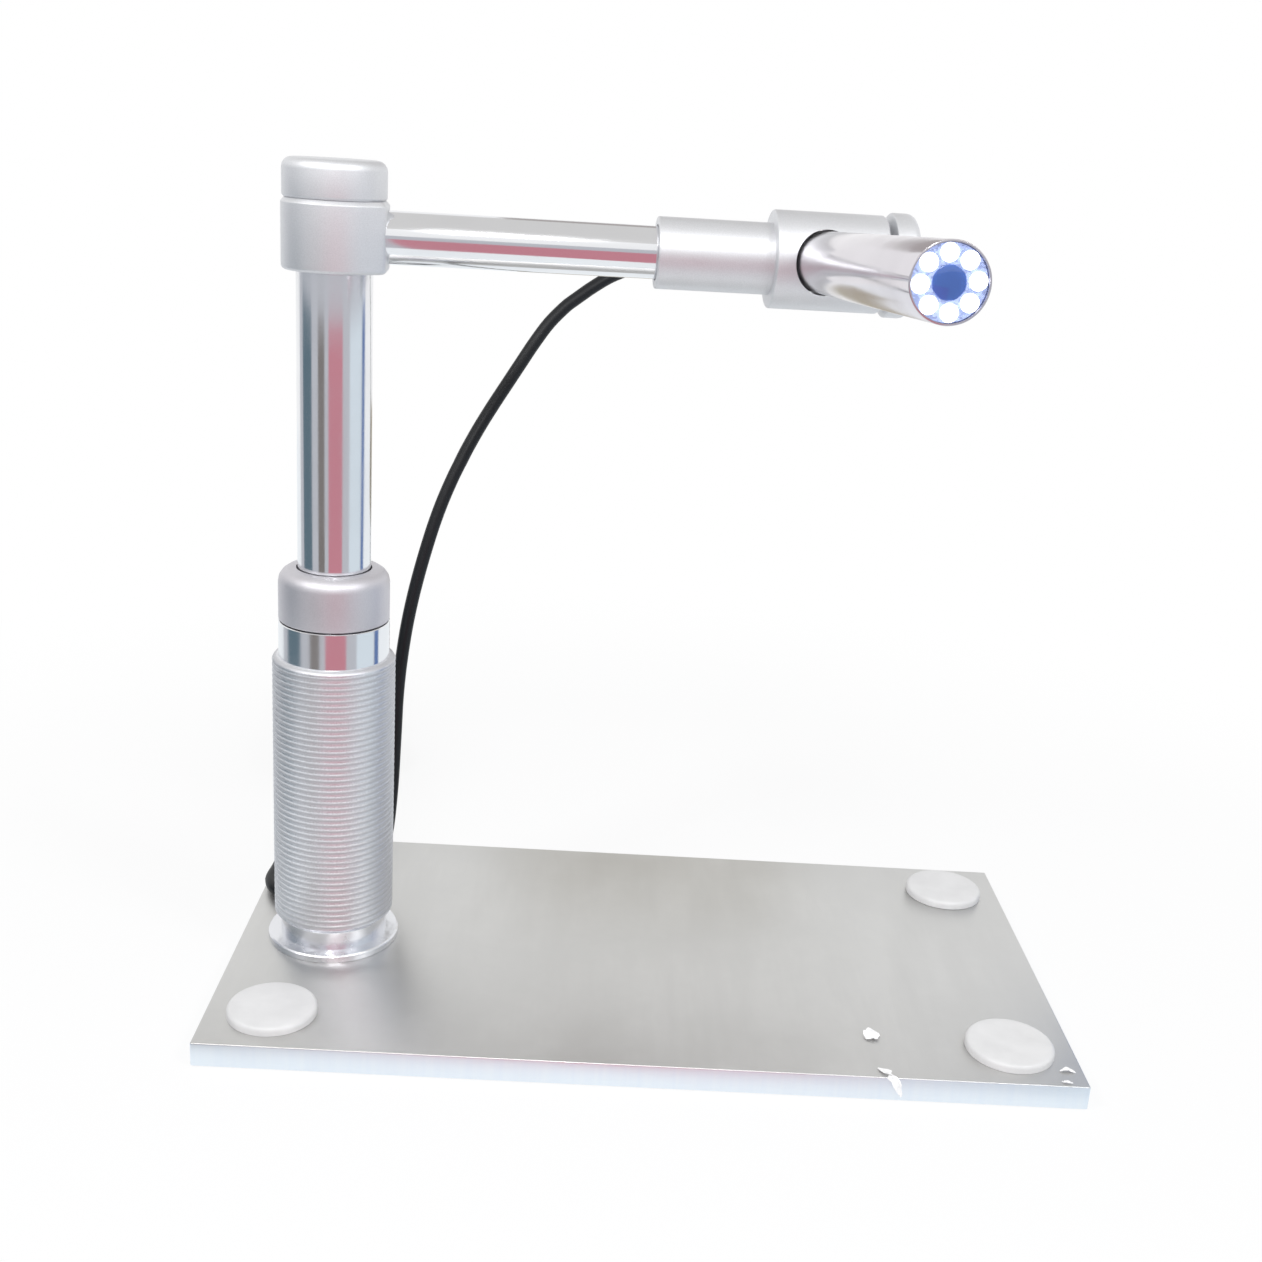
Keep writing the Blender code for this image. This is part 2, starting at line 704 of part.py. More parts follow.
def build_handle(column_axis):
    """The hollow handle: neck, ribbed grip, bright band, and the spigot that carries the collar."""
    pitch = GRIP_LENGTH / GRIP_RING_COUNT
    floor = HANDLE_BASE + HANDLE_FLOOR
    screw_top = BASE_SCREW_REACH + GAP
    profile = [
        (0.0, floor),
        (HANDLE_BORE_RADIUS, floor),
        (HANDLE_BORE_RADIUS, SPIGOT_TOP),
        (SPIGOT_RADIUS, SPIGOT_TOP),
        (SPIGOT_RADIUS, BAND_TOP),
        (BAND_RADIUS, BAND_TOP),
        (BAND_RADIUS, GRIP_TOP + BAND_SHOULDER),
    ]
    for ring in range(GRIP_RING_COUNT):
        crest = GRIP_TOP - pitch * ring
        profile.append((GRIP_RADIUS, crest))
        profile.append((GRIP_RADIUS - GRIP_RING_DEPTH, crest - pitch / 2))
    profile += [
        (GRIP_RADIUS, GRIP_BASE),
        (NECK_RADIUS, GRIP_BASE - GRIP_CHAMFER),
        (NECK_RADIUS, HANDLE_BASE),
        (BASE_SCREW_RADIUS + GAP, HANDLE_BASE),
        (BASE_SCREW_RADIUS + GAP, screw_top),
        (0.0, screw_top),
    ]
    turned("handle", profile, SATIN_METAL, column_axis, SEGMENTS_HANDLE)


def build_collet(column_axis):
    """The split bush whose taper is squeezed on to the tube by the collar."""
    bore = TUBE_RADIUS + GAP
    sleeve = HANDLE_BORE_RADIUS - GAP
    profile = [
        (bore, COLLET_TOP),
        (SPIGOT_RADIUS - COLLET_TAPER_RUN, COLLET_TOP),
        (SPIGOT_RADIUS, COLLET_TAPER_BASE),
        (SPIGOT_RADIUS, COLLET_SHOULDER_BASE),
        (sleeve, COLLET_SHOULDER_BASE),
        (sleeve, COLLET_BASE),
        (bore, COLLET_BASE),
    ]
    collet = turned("collet", profile, BRASS, column_axis, SEGMENTS)
    reach = SPIGOT_RADIUS + OVERRUN
    for slot in range(COLLET_SLOT_PAIRS):
        half_slot = COLLET_SLOT_WIDTH / 2
        low = (-reach, -half_slot, COLLET_BASE + COLLET_ROOT)
        high = (reach, half_slot, COLLET_TOP + OVERRUN)
        cutter = new_cutter("slot", box_mesh("slot", low, high), column_axis)
        cutter.rotation_euler = (0.0, 0.0, math.pi * slot / COLLET_SLOT_PAIRS)
        combine(collet, cutter, "DIFFERENCE")


def build_lock_collar(column_axis):
    """The collar that screws down on the handle's spigot and closes the collet."""
    base = BAND_TOP + GAP
    inside = SPIGOT_RADIUS + GAP
    profile = [
        (TUBE_RADIUS + GAP, COLLAR_TOP),
        *round_over(COLLAR_RADIUS, COLLAR_TOP, COLLAR_ROUND),
        (COLLAR_RADIUS, base + COLLAR_EDGE_BREAK),
        (COLLAR_RADIUS - COLLAR_EDGE_BREAK, base),
        (inside, base),
        (inside, COLLET_TAPER_BASE + GAP),
        (inside - COLLET_TAPER_RUN, COLLET_TOP + GAP),
        (TUBE_RADIUS + GAP, COLLET_TOP + GAP),
    ]
    turned("lock_collar", profile, SATIN_METAL, column_axis)


def build_column(column_axis):
    """The sliding tube, the guide ring that stops it, and the stud piece in its top."""
    bore = TUBE_RADIUS - TUBE_WALL
    tube_profile = [
        (bore, TUBE_TOP),
        (TUBE_RADIUS, TUBE_TOP),
        (TUBE_RADIUS, TUBE_BASE),
        (bore, TUBE_BASE),
    ]
    turned("column_tube", tube_profile, CHROME, column_axis)
    plug = bore - GAP
    guide = HANDLE_BORE_RADIUS - GAP
    guide_top = TUBE_BASE - GAP
    guide_profile = [
        (0.0, TUBE_BASE + TUBE_PLUG_DEPTH),
        (plug, TUBE_BASE + TUBE_PLUG_DEPTH),
        (plug, guide_top),
        (guide, guide_top),
        (guide, guide_top - GUIDE_HEIGHT),
        (0.0, guide_top - GUIDE_HEIGHT),
    ]
    turned("guide_ring", guide_profile, BLACK_PLASTIC, column_axis, SEGMENTS_INNER)
    stud_top = CAP_BASE + STUD_IN_CAP
    insert_profile = [
        (0.0, stud_top),
        (STUD_RADIUS, stud_top),
        (STUD_RADIUS, TUBE_TOP),
        (plug, TUBE_TOP),
        (plug, TUBE_TOP - TUBE_PLUG_DEPTH),
        (0.0, TUBE_TOP - TUBE_PLUG_DEPTH),
    ]
    turned("column_insert", insert_profile, STEEL, column_axis, SEGMENTS_INNER)


def build_elbow_head(column_axis, arm_axis):
    """The head that swivels on the column and holds the arm in its side."""
    stud_hole = STUD_RADIUS + GAP
    socket = TUBE_RADIUS + GAP
    socket_top = HEAD_BASE + HEAD_SOCKET_DEPTH
    profile = [
        (stud_hole, HEAD_TOP),
        (HEAD_RADIUS - HEAD_CHAMFER_HIGH, HEAD_TOP),
        (HEAD_RADIUS, HEAD_TOP - HEAD_CHAMFER_HIGH),
        (HEAD_RADIUS, HEAD_BASE + HEAD_CHAMFER_LOW),
        (HEAD_RADIUS - HEAD_CHAMFER_LOW, HEAD_BASE),
        (socket, HEAD_BASE),
        (socket, socket_top),
        (stud_hole, socket_top),
    ]
    head = turned("elbow_head", profile, SATIN_METAL, column_axis)
    seat = rod_mesh("seat", ARM_RADIUS + GAP, ARM_START - GAP, HEAD_RADIUS + OVERRUN)
    combine(head, new_cutter("seat", seat, arm_axis), "DIFFERENCE")
    stud_end = ARM_START - ARM_STUD_LENGTH - GAP
    stud = rod_mesh("stud", ARM_STUD_RADIUS + GAP, stud_end, ARM_START)
    combine(head, new_cutter("stud", stud, arm_axis), "DIFFERENCE")


def build_head_cap(column_axis):
    """The round cap that screws down on the stud and locks the head."""
    top = CAP_BASE + CAP_HEIGHT
    hole = STUD_RADIUS + GAP
    hole_top = CAP_BASE + STUD_IN_CAP + GAP
    profile = [
        (0.0, top),
        *round_over(CAP_RADIUS, top, CAP_ROUND),
        (CAP_RADIUS, CAP_BASE),
        (hole, CAP_BASE),
        (hole, hole_top),
        (0.0, hole_top),
    ]
    turned("head_cap", profile, SATIN_METAL, column_axis)


def build_arm(arm_axis):
    """The arm tube, the stud piece in its column end and the threaded plug in its clamp end."""
    bore = ARM_RADIUS - ARM_WALL
    plug = bore - GAP
    tube_profile = [
        (bore, ARM_END),
        (ARM_RADIUS, ARM_END),
        (ARM_RADIUS, ARM_START),
        (bore, ARM_START),
    ]
    turned("arm_tube", tube_profile, CHROME, arm_axis)
    stud_profile = [
        (0.0, ARM_START + ARM_PLUG_DEPTH),
        (plug, ARM_START + ARM_PLUG_DEPTH),
        (plug, ARM_START),
        (ARM_STUD_RADIUS, ARM_START),
        (ARM_STUD_RADIUS, ARM_START - ARM_STUD_LENGTH),
        (0.0, ARM_START - ARM_STUD_LENGTH),
    ]
    turned("arm_stud", stud_profile, STEEL, arm_axis, SEGMENTS_INNER)
    hole = PIVOT_SCREW_RADIUS + GAP
    hole_end = PIVOT_HEAD_BASE - PIVOT_SCREW_LENGTH - GAP
    plug_profile = [
        (0.0, hole_end),
        (hole, hole_end),
        (hole, ARM_END),
        (plug, ARM_END),
        (plug, PIVOT_PLUG_BASE),
        (0.0, PIVOT_PLUG_BASE),
    ]
    turned("pivot_plug", plug_profile, STEEL, arm_axis, SEGMENTS_INNER)
    head_top = PIVOT_HEAD_BASE + PIVOT_HEAD_HEIGHT
    screw_profile = [
        (0.0, head_top),
        (PIVOT_HEAD_RADIUS, head_top),
        (PIVOT_HEAD_RADIUS, PIVOT_HEAD_BASE),
        (PIVOT_SCREW_RADIUS, PIVOT_HEAD_BASE),
        (PIVOT_SCREW_RADIUS, PIVOT_HEAD_BASE - PIVOT_SCREW_LENGTH),
        (0.0, PIVOT_HEAD_BASE - PIVOT_SCREW_LENGTH),
    ]
    turned("pivot_screw", screw_profile, STEEL, arm_axis, SEGMENTS_INNER)


def build_clamp(arm_axis, microscope_axis):
    """The sleeve and body that turn on the arm's end, bored across for the microscope."""
    arm_bore = ARM_RADIUS + GAP
    screw_hole = PIVOT_SCREW_RADIUS + GAP
    sleeve_profile = [
        (screw_hole, SLEEVE_END),
        (SLEEVE_RADIUS, SLEEVE_END),
        (SLEEVE_RADIUS, SLEEVE_START + SLEEVE_CHAMFER),
        (SLEEVE_RADIUS - SLEEVE_CHAMFER, SLEEVE_START),
        (arm_bore, SLEEVE_START),
        (arm_bore, ARM_END + GAP),
        (screw_hole, ARM_END + GAP),
    ]
    turned("arm_sleeve", sleeve_profile, SATIN_METAL, arm_axis)
    knob_hole = CLAMP_SCREW_RADIUS + GAP
    head_recess = PIVOT_HEAD_RADIUS + GAP
    shoe_bore = SHOE_RADIUS + GAP
    shoe_end = CLAMP_END - CLAMP_END_WALL
    body_profile = [
        (knob_hole, CLAMP_END),
        (CLAMP_RADIUS - CLAMP_EDGE_BREAK, CLAMP_END),
        (CLAMP_RADIUS, CLAMP_END - CLAMP_EDGE_BREAK),
        (CLAMP_RADIUS, CLAMP_START + CLAMP_EDGE_BREAK),
        (CLAMP_RADIUS - CLAMP_EDGE_BREAK, CLAMP_START),
        (screw_hole, CLAMP_START),
        (screw_hole, CLAMP_START + PIVOT_WALL),
        (head_recess, CLAMP_START + PIVOT_WALL),
        (head_recess, MICROSCOPE_AXIS),
        (shoe_bore, MICROSCOPE_AXIS),
        (shoe_bore, shoe_end),
        (knob_hole, shoe_end),
    ]
    body = turned("clamp_body", body_profile, SATIN_METAL, arm_axis)
    reach = CLAMP_RADIUS + OVERRUN
    bore = rod_mesh("bore", BARREL_RADIUS + GAP, -reach, reach, SEGMENTS)
    combine(body, new_cutter("bore", bore, microscope_axis), "DIFFERENCE")


def build_clamp_screw(arm_axis):
    """The shoe that presses on the barrel, its screw and the knob on the screw."""
    shoe_profile = [
        (0.0, SHOE_BACK),
        (SHOE_RADIUS, SHOE_BACK),
        (SHOE_RADIUS, SHOE_FACE + SHOE_EDGE_BREAK),
        (SHOE_RADIUS - SHOE_EDGE_BREAK, SHOE_FACE),
        (0.0, SHOE_FACE),
    ]
    turned("clamp_shoe", shoe_profile, BLACK_PLASTIC, arm_axis, SEGMENTS_INNER)
    screw_end = KNOB_START + KNOB_HOLE_DEPTH
    screw_profile = [
        (0.0, screw_end),
        (CLAMP_SCREW_RADIUS, screw_end),
        (CLAMP_SCREW_RADIUS, SHOE_BACK + GAP),
        (0.0, SHOE_BACK + GAP),
    ]
    turned("clamp_screw", screw_profile, STEEL, arm_axis, SEGMENTS_INNER)
    top = KNOB_START + KNOB_THICKNESS
    hole = CLAMP_SCREW_RADIUS + GAP
    knob_profile = [
        (0.0, top),
        *round_over(KNOB_RADIUS, top, KNOB_ROUND),
        (KNOB_RADIUS, KNOB_START + KNOB_EDGE_BREAK),
        (KNOB_RADIUS - KNOB_EDGE_BREAK, KNOB_START),
        (hole, KNOB_START),
        (hole, screw_end + GAP),
        (0.0, screw_end + GAP),
    ]
    turned("clamp_knob", knob_profile, SATIN_METAL, arm_axis)


def build_barrel(microscope_axis):
    """The microscope's barrel, with a thin-walled recess for the lamp ring at its front."""
    profile = [
        (FACE_BORE, BARREL_FRONT),
        (BARREL_RADIUS - BARREL_EDGE_BREAK, BARREL_FRONT),
        (BARREL_RADIUS, BARREL_FRONT - BARREL_EDGE_BREAK),
        (BARREL_RADIUS, BARREL_REAR),
        (BARREL_BORE, BARREL_REAR),
        (BARREL_BORE, FACE_FLOOR),
        (FACE_BORE, FACE_FLOOR),
    ]
    turned("barrel_tube", profile, BARREL_METAL, microscope_axis)


def build_face(microscope_axis):
    """The board, lamps and window behind the barrel's front rim."""
    board_front = LED_BOARD_BACK + LED_BOARD_THICKNESS
    board_radius = FACE_BORE - GAP
    board_profile = [
        (LED_BOARD_HOLE_RADIUS, board_front),
        (board_radius, board_front),
        (board_radius, LED_BOARD_BACK),
        (LED_BOARD_HOLE_RADIUS, LED_BOARD_BACK),
    ]
    turned("led_board", board_profile, CIRCUIT, microscope_axis, SEGMENTS_INNER)
    window_front = LED_BASE + WINDOW_THICKNESS
    window_profile = [
        (0.0, window_front),
        (WINDOW_RADIUS - WINDOW_EDGE_BREAK, window_front),
        (WINDOW_RADIUS, window_front - WINDOW_EDGE_BREAK),
        (WINDOW_RADIUS, LED_BASE),
        (0.0, LED_BASE),
    ]
    turned("front_window", window_profile, BLUE_GLASS, microscope_axis, SEGMENTS_INNER)
    led_top = LED_BASE + LED_HEIGHT
    led_profile = [
        (0.0, led_top),
        *round_over(LED_RADIUS, led_top, LED_RADIUS / 2),
        (LED_RADIUS, LED_BASE),
        (0.0, LED_BASE),
    ]
    for index in range(LED_COUNT):
        angle = LED_PHASE + math.tau * index / LED_COUNT
        lamp = turned(f"led_{index + 1}", led_profile, LED_WHITE, microscope_axis, SEGMENTS_TINY)
        lamp.location = Vector((math.cos(angle), math.sin(angle), 0.0)) * LED_CIRCLE_RADIUS


def build_optics(microscope_axis):
    """The lens and the cell that holds it in the barrel."""
    seat_back = CELL_FRONT - LENS_THICKNESS - GAP * 2
    bore = INSERT_RADIUS - LENS_CELL_WALL
    cell_profile = [
        (LENS_SEAT_RADIUS, CELL_FRONT),
        (INSERT_RADIUS, CELL_FRONT),
        (INSERT_RADIUS, CELL_BACK),
        (bore, CELL_BACK),
        (bore, seat_back),
        (LENS_SEAT_RADIUS, seat_back),
    ]
    turned("lens_cell", cell_profile, BLACK_PLASTIC, microscope_axis, SEGMENTS_INNER)
    lens_radius = LENS_SEAT_RADIUS - GAP
    middle = seat_back + GAP + LENS_THICKNESS / 2
    crown = (LENS_THICKNESS - LENS_EDGE) / 2
    rim = []
    for step in range(FILLET_STEPS + 1):
        share = step / FILLET_STEPS
        rim.append((lens_radius * share, LENS_EDGE / 2 + crown * (1 - share * share)))
    profile = [(across, middle + rise) for across, rise in rim]
    profile += [(across, middle - rise) for across, rise in reversed(rim)]
    turned("lens", profile, CLEAR_GLASS, microscope_axis, SEGMENTS_INNER)


def build_sensor(microscope_axis):
    """The carriage that the focus ring moves, with the sensor and its board on its front."""
    stem_bore = CARRIAGE_STEM_RADIUS - CARRIAGE_WALL
    head_bore = INSERT_RADIUS - CARRIAGE_WALL
    floor = CARRIAGE_HEAD_BACK + CARRIAGE_HEAD_FLOOR
    profile = [
        (head_bore, CARRIAGE_FRONT),
        (INSERT_RADIUS, CARRIAGE_FRONT),
        (INSERT_RADIUS, CARRIAGE_HEAD_BACK),
        (CARRIAGE_STEM_RADIUS, CARRIAGE_HEAD_BACK),
        (CARRIAGE_STEM_RADIUS, CARRIAGE_BACK),
        (stem_bore, CARRIAGE_BACK),
        (stem_bore, floor),
        (head_bore, floor),
    ]
    carriage = turned("sensor_carriage", profile, BLACK_PLASTIC, microscope_axis, SEGMENTS_INNER)
    pin_root = (stem_bore + CARRIAGE_STEM_RADIUS) / 2
    pin = new_cutter("pin", rod_mesh("pin", FOCUS_PIN_RADIUS, pin_root, INSERT_RADIUS, SEGMENTS_TINY))
    pin.parent = microscope_axis
    pin.location = (0.0, 0.0, FOCUS_PIN_CENTRE)
    pin.rotation_euler = (0.0, math.pi / 2, 0.0)
    combine(carriage, pin, "UNION")
    board_back = CARRIAGE_FRONT + GAP
    board_front = board_back + SENSOR_BOARD_THICKNESS
    board_profile = [
        (0.0, board_front),
        (SENSOR_BOARD_RADIUS, board_front),
        (SENSOR_BOARD_RADIUS, board_back),
        (0.0, board_back),
    ]
    turned("sensor_board", board_profile, CIRCUIT, microscope_axis, SEGMENTS_INNER)
    half = SENSOR_SIDE / 2
    sensor_back = board_front + GAP
    low = (-half, -half, sensor_back)
    high = (half, half, sensor_back + SENSOR_THICKNESS)
    new_part("image_sensor", box_mesh("image_sensor", low, high), SENSOR, microscope_axis)


def build_rear(microscope_axis):
    """The rear cap, whose slotted spigot joins it to the barrel and carries the focus ring."""
    relief_hole = RELIEF_TANG_RADIUS + GAP
    cap_floor = REAR_CAP_BACK + REAR_WALL
    profile = [
        (SPIGOT_BORE, SPIGOT_FRONT),
        (INSERT_RADIUS, SPIGOT_FRONT),
        (INSERT_RADIUS, REAR_CAP_FRONT),
        (BARREL_RADIUS, REAR_CAP_FRONT),
        *round_under(BARREL_RADIUS, REAR_CAP_BACK, REAR_ROUND),
        (relief_hole, REAR_CAP_BACK),
        (relief_hole, cap_floor),
        (SPIGOT_BORE, cap_floor),
    ]
    rear = turned("rear_cap", profile, BARREL_METAL, microscope_axis)
    half_slot = FOCUS_PIN_RADIUS + GAP
    half_length = half_slot + FOCUS_PIN_TRAVEL
    low = (SPIGOT_BORE - REAR_SPIGOT_WALL, -half_slot, FOCUS_PIN_CENTRE - half_length)
    high = (INSERT_RADIUS + GAP, half_slot, FOCUS_PIN_CENTRE + half_length)
    slot = new_cutter("slot", box_mesh("slot", low, high), microscope_axis)
    combine(rear, slot, "DIFFERENCE")


def build_focus_ring(microscope_axis):
    """The fluted ring that turns behind the barrel to move the sensor carriage."""
    profile = [
        (BARREL_BORE, FOCUS_RING_FRONT),
        *round_over(FOCUS_RING_RADIUS, FOCUS_RING_FRONT, FOCUS_RING_ROUND),
        *round_under(FOCUS_RING_RADIUS, FOCUS_RING_BACK, FOCUS_RING_ROUND),
        (BARREL_BORE, FOCUS_RING_BACK),
    ]
    ring = turned("focus_ring", profile, BARREL_METAL, microscope_axis)
    offset = FOCUS_RING_RADIUS + FOCUS_FLUTE_RADIUS - FOCUS_FLUTE_DEPTH
    flutes = bmesh.new()
    for index in range(FOCUS_FLUTES):
        flute = rod_mesh(
            "flute",
            FOCUS_FLUTE_RADIUS,
            FOCUS_RING_BACK - OVERRUN,
            FOCUS_RING_FRONT + OVERRUN,
            SEGMENTS_TINY,
        )
        turn = Matrix.Rotation(math.tau * index / FOCUS_FLUTES, 4, "Z")
        flute.transform(turn @ Matrix.Translation((offset, 0.0, 0.0)))
        flutes.from_mesh(flute)
        bpy.data.meshes.remove(flute)
    mesh = bpy.data.meshes.new("flutes")
    flutes.to_mesh(mesh)
    flutes.free()
    combine(ring, new_cutter("flutes", mesh, microscope_axis), "DIFFERENCE")


def build_strain_relief(microscope_axis):
    """The ribbed, tapered strain relief behind the rear cap."""
    tang_front = RELIEF_ROOT + RELIEF_TANG_LENGTH
    profile = [
        (0.0, tang_front),
        (RELIEF_TANG_RADIUS, tang_front),
        (RELIEF_TANG_RADIUS, RELIEF_ROOT),
    ]
    pitch = RELIEF_LENGTH / RELIEF_RIBS
    taper = (RELIEF_ROOT_RADIUS - RELIEF_TIP_RADIUS) / RELIEF_RIBS
    for rib in range(RELIEF_RIBS):
        radius = RELIEF_ROOT_RADIUS - taper * rib
        start = RELIEF_ROOT - pitch * rib
        end = start - pitch * RELIEF_RIB_SHARE
        profile.append((radius, start))
        profile.append((radius - taper / 2, end))
        if rib < RELIEF_RIBS - 1:
            profile.append((radius - RELIEF_RIB_DEPTH, end))
            profile.append((radius - RELIEF_RIB_DEPTH, start - pitch))
    profile.append((RELIEF_TIP_RADIUS, RELIEF_TIP))
    profile.append((0.0, RELIEF_TIP))
    turned("strain_relief", profile, BLACK_RUBBER, microscope_axis, SEGMENTS_INNER)


def spiral_half_width(half_turns):
    """Half width of the hank's loops, which spiral in and out again at a steady rate."""
    period = HANK_LAYER_HALF_TURNS * 2
    phase = (half_turns - HANK_REVERSAL) % period
    steps = min(phase, period - phase)
    if half_turns < HANK_REVERSAL:
        steps = HANK_REVERSAL - half_turns
    return HANK_INNER_HALF_WIDTH + HANK_STEP / 2 * steps


def hank_height(half_turns):
    """Height of the cord's middle, which climbs a layer along each run where the spiral reverses."""
    height = HANK_BASE
    for climb in HANK_CLIMBS:
        share = min(1.0, max(0.0, (half_turns - climb) / HANK_RUN_SHARE))
        height += HANK_LAYER_PITCH * share
    return height


def hank_point(half_turns):
    """A point of the hank in its own frame, at a number of half turns from its start."""
    whole = math.floor(half_turns)
    within = half_turns - whole
    side = 1 if whole % 2 == 0 else -1
    half_width = spiral_half_width(half_turns)
    height = hank_height(half_turns)
    if within <= HANK_RUN_SHARE:
        along = within / HANK_RUN_SHARE * 2 - 1
        draw = HANK_WAIST_DRAW * (1 + math.cos(math.pi * along)) / 2
        return Vector((HANK_RUN / 2 * along * side, (half_width - draw) * side, height))
    turn = math.pi * (within - HANK_RUN_SHARE) / (1 - HANK_RUN_SHARE)
    along = HANK_RUN / 2 + half_width * math.sin(turn)
    return Vector((along * side, half_width * math.cos(turn) * side, height))


def hank_points():
    """The hank's line of points, with a straight diameter at each end."""
    lead = Vector((CORD_DIAMETER, 0.0, 0.0))
    points = [hank_point(0) - lead]
    for whole in range(HANK_HALF_TURNS):
        for step in range(HANK_RUN_STEPS):
            points.append(hank_point(whole + HANK_RUN_SHARE * step / HANK_RUN_STEPS))
        for step in range(HANK_FOLD_STEPS):
            fold_share = step / HANK_FOLD_STEPS
            points.append(hank_point(whole + HANK_RUN_SHARE + (1 - HANK_RUN_SHARE) * fold_share))
    last = hank_point(HANK_HALF_TURNS)
    return points + [last, last + lead]


def build_cord(microscope_axis, hank_axis):
    """The cord's free stretches, from the strain relief to the hank, and the hank's tail."""
    bpy.context.view_layer.update()
    relief = microscope_axis.matrix_world
    start = relief @ Vector((0.0, 0.0, CORD_START))
    straight = relief @ Vector((0.0, 0.0, CORD_START - CORD_DIAMETER))
    wound = hank_points()
    hank_frame = hank_axis.matrix_world
    gap = Vector((GAP, 0.0, 0.0))
    lead = Vector((CORD_DIAMETER, 0.0, 0.0))
    hank_start = wound[0] - gap
    ending = [hank_frame @ (hank_start - lead), hank_frame @ hank_start]
    route = [start, straight] + [Vector(point) for point in CORD_ROUTE] + ending
    points = smooth_route(route, CORD_SPACING)
    near, rest = split_route(points, CORD_NEAR_LENGTH)
    bridge, rest = split_route(rest, CORD_BRIDGE_LENGTH)
    upper, rest = split_route(rest, CORD_UPPER_LENGTH)
    hanging, run = split_route(rest, CORD_HANGING_LENGTH)
    for name, stretch in (
        ("cord_near", near),
        ("cord_bridge", bridge),
        ("cord_upper", upper),
        ("cord_hanging", hanging),
        ("cord_run", run),
    ):
        tube(name, stretch, CORD_RADIUS, CORD_RESOLUTION, BLACK_RUBBER)
    tube("cord_hank", wound, CORD_RADIUS, HANK_RESOLUTION, BLACK_RUBBER, hank_axis)
    tail_start = wound[-1] + gap
    tail_route = [tail_start, tail_start + lead] + [Vector(point) for point in TAIL_ROUTE]
    tail_route.append(Vector((TAIL_END, 0.0, PLUG_MIDDLE_HEIGHT)))
    tail = smooth_route(tail_route, CORD_SPACING)
    tube("cord_tail", tail, CORD_RADIUS, CORD_RESOLUTION, BLACK_RUBBER, hank_axis)
    print("least gap of the hank to itself:", least_gap(wound, CORD_RADIUS))
    for name, stretch in (("route", points), ("hank", wound), ("tail", tail)):
        print("cord length,", name, route_length(stretch))
    for name, stretch in (("near", near), ("bridge", bridge), ("upper", upper), ("hanging", hanging)):
        print("stretch", name, "of", route_length(stretch), "ends at", stretch[-1])


def build_cord_tie(hank_axis):
    """The strap round the hank's waist."""
    half = TIE_WIDTH / 2
    outer = TIE_HALF_WIDTH + TIE_THICKNESS
    block = box_mesh("cord_tie", (-half, -outer, 0.0), (half, outer, TIE_TOP))
    strap = new_part("cord_tie", block, BLACK_PLASTIC, hank_axis)
    round_long_edges(strap, TIE_ROUND + TIE_THICKNESS)
    low = (-half - OVERRUN, -TIE_HALF_WIDTH, TIE_THICKNESS)
    high = (half + OVERRUN, TIE_HALF_WIDTH, TIE_TOP - TIE_THICKNESS)
    opening = new_cutter("opening", box_mesh("opening", low, high), hank_axis)
    opening.data.materials.append(BLACK_PLASTIC)
    round_long_edges(opening, TIE_ROUND)
    combine(strap, opening, "DIFFERENCE")


def round_long_edges(part, width):
    """Round only the edges that run along X."""
    shape = bmesh.new()
    shape.from_mesh(part.data)
    edges = []
    for edge in shape.edges:
        if abs(edge.verts[0].co.x - edge.verts[1].co.x) > MERGE_DISTANCE:
            edges.append(edge)
    bmesh.ops.bevel(
        shape,
        geom=edges,
        offset=width,
        segments=FILLET_STEPS,
        profile=ROUND_PROFILE_SHARE,
        affect="EDGES",
    )
    shape.to_mesh(part.data)
    shape.free()


def build_plug(hank_axis):
    """The USB plug: a moulded body with a nose, a metal shell and the tongue inside it."""
    place = (PLUG_BODY_START, 0.0, PLUG_MIDDLE_HEIGHT)
    plug_axis = new_axis("plug_axis", place, (0.0, math.pi / 2, 0.0), hank_axis)
    half_width = PLUG_WIDTH / 2
    half_height = PLUG_HEIGHT / 2
    low = (-half_height, -half_width, 0.0)
    high = (half_height, half_width, PLUG_LENGTH)
    body = new_part("plug_body", box_mesh("plug_body", low, high), BLACK_RUBBER, plug_axis)
    bevelled(body, PLUG_ROUND, FILLET_STEPS)
    nose = rod_mesh("nose", PLUG_NOSE_RADIUS, -PLUG_NOSE_LENGTH, OVERRUN)
    combine(body, new_cutter("nose", nose, plug_axis), "UNION")
    pocket_height = SHELL_HEIGHT / 2 + GAP
    pocket_width = SHELL_WIDTH / 2 + GAP
    pocket_floor = PLUG_LENGTH - PLUG_POCKET_DEPTH - GAP
    pocket = box_mesh(
        "pocket",
        (-pocket_height, -pocket_width, pocket_floor),
        (pocket_height, pocket_width, PLUG_LENGTH + OVERRUN),
    )
    combine(body, new_cutter("pocket", pocket, plug_axis), "DIFFERENCE")
    shell_start = PLUG_LENGTH - PLUG_POCKET_DEPTH
    shell_end = shell_start + SHELL_LENGTH
    outer = Vector((SHELL_HEIGHT / 2, SHELL_WIDTH / 2, 0.0))
    inner = outer - Vector((SHELL_WALL, SHELL_WALL, 0.0))
    shell = new_part(
        "plug_shell",
        box_mesh("plug_shell", (-outer.x, -outer.y, shell_start), (outer.x, outer.y, shell_end)),
        CHROME,
        plug_axis,
    )
    hollow = box_mesh(
        "hollow", (-inner.x, -inner.y, shell_start - OVERRUN), (inner.x, inner.y, shell_end + OVERRUN)
    )
    combine(shell, new_cutter("hollow", hollow, plug_axis), "DIFFERENCE")
    tongue_top = inner.x - GAP
    tongue = box_mesh(
        "plug_tongue",
        (tongue_top - TONGUE_THICKNESS, -inner.y + GAP, shell_start),
        (tongue_top, inner.y - GAP, shell_start + TONGUE_LENGTH),
    )
    new_part("plug_tongue", tongue, BLACK_PLASTIC, plug_axis)


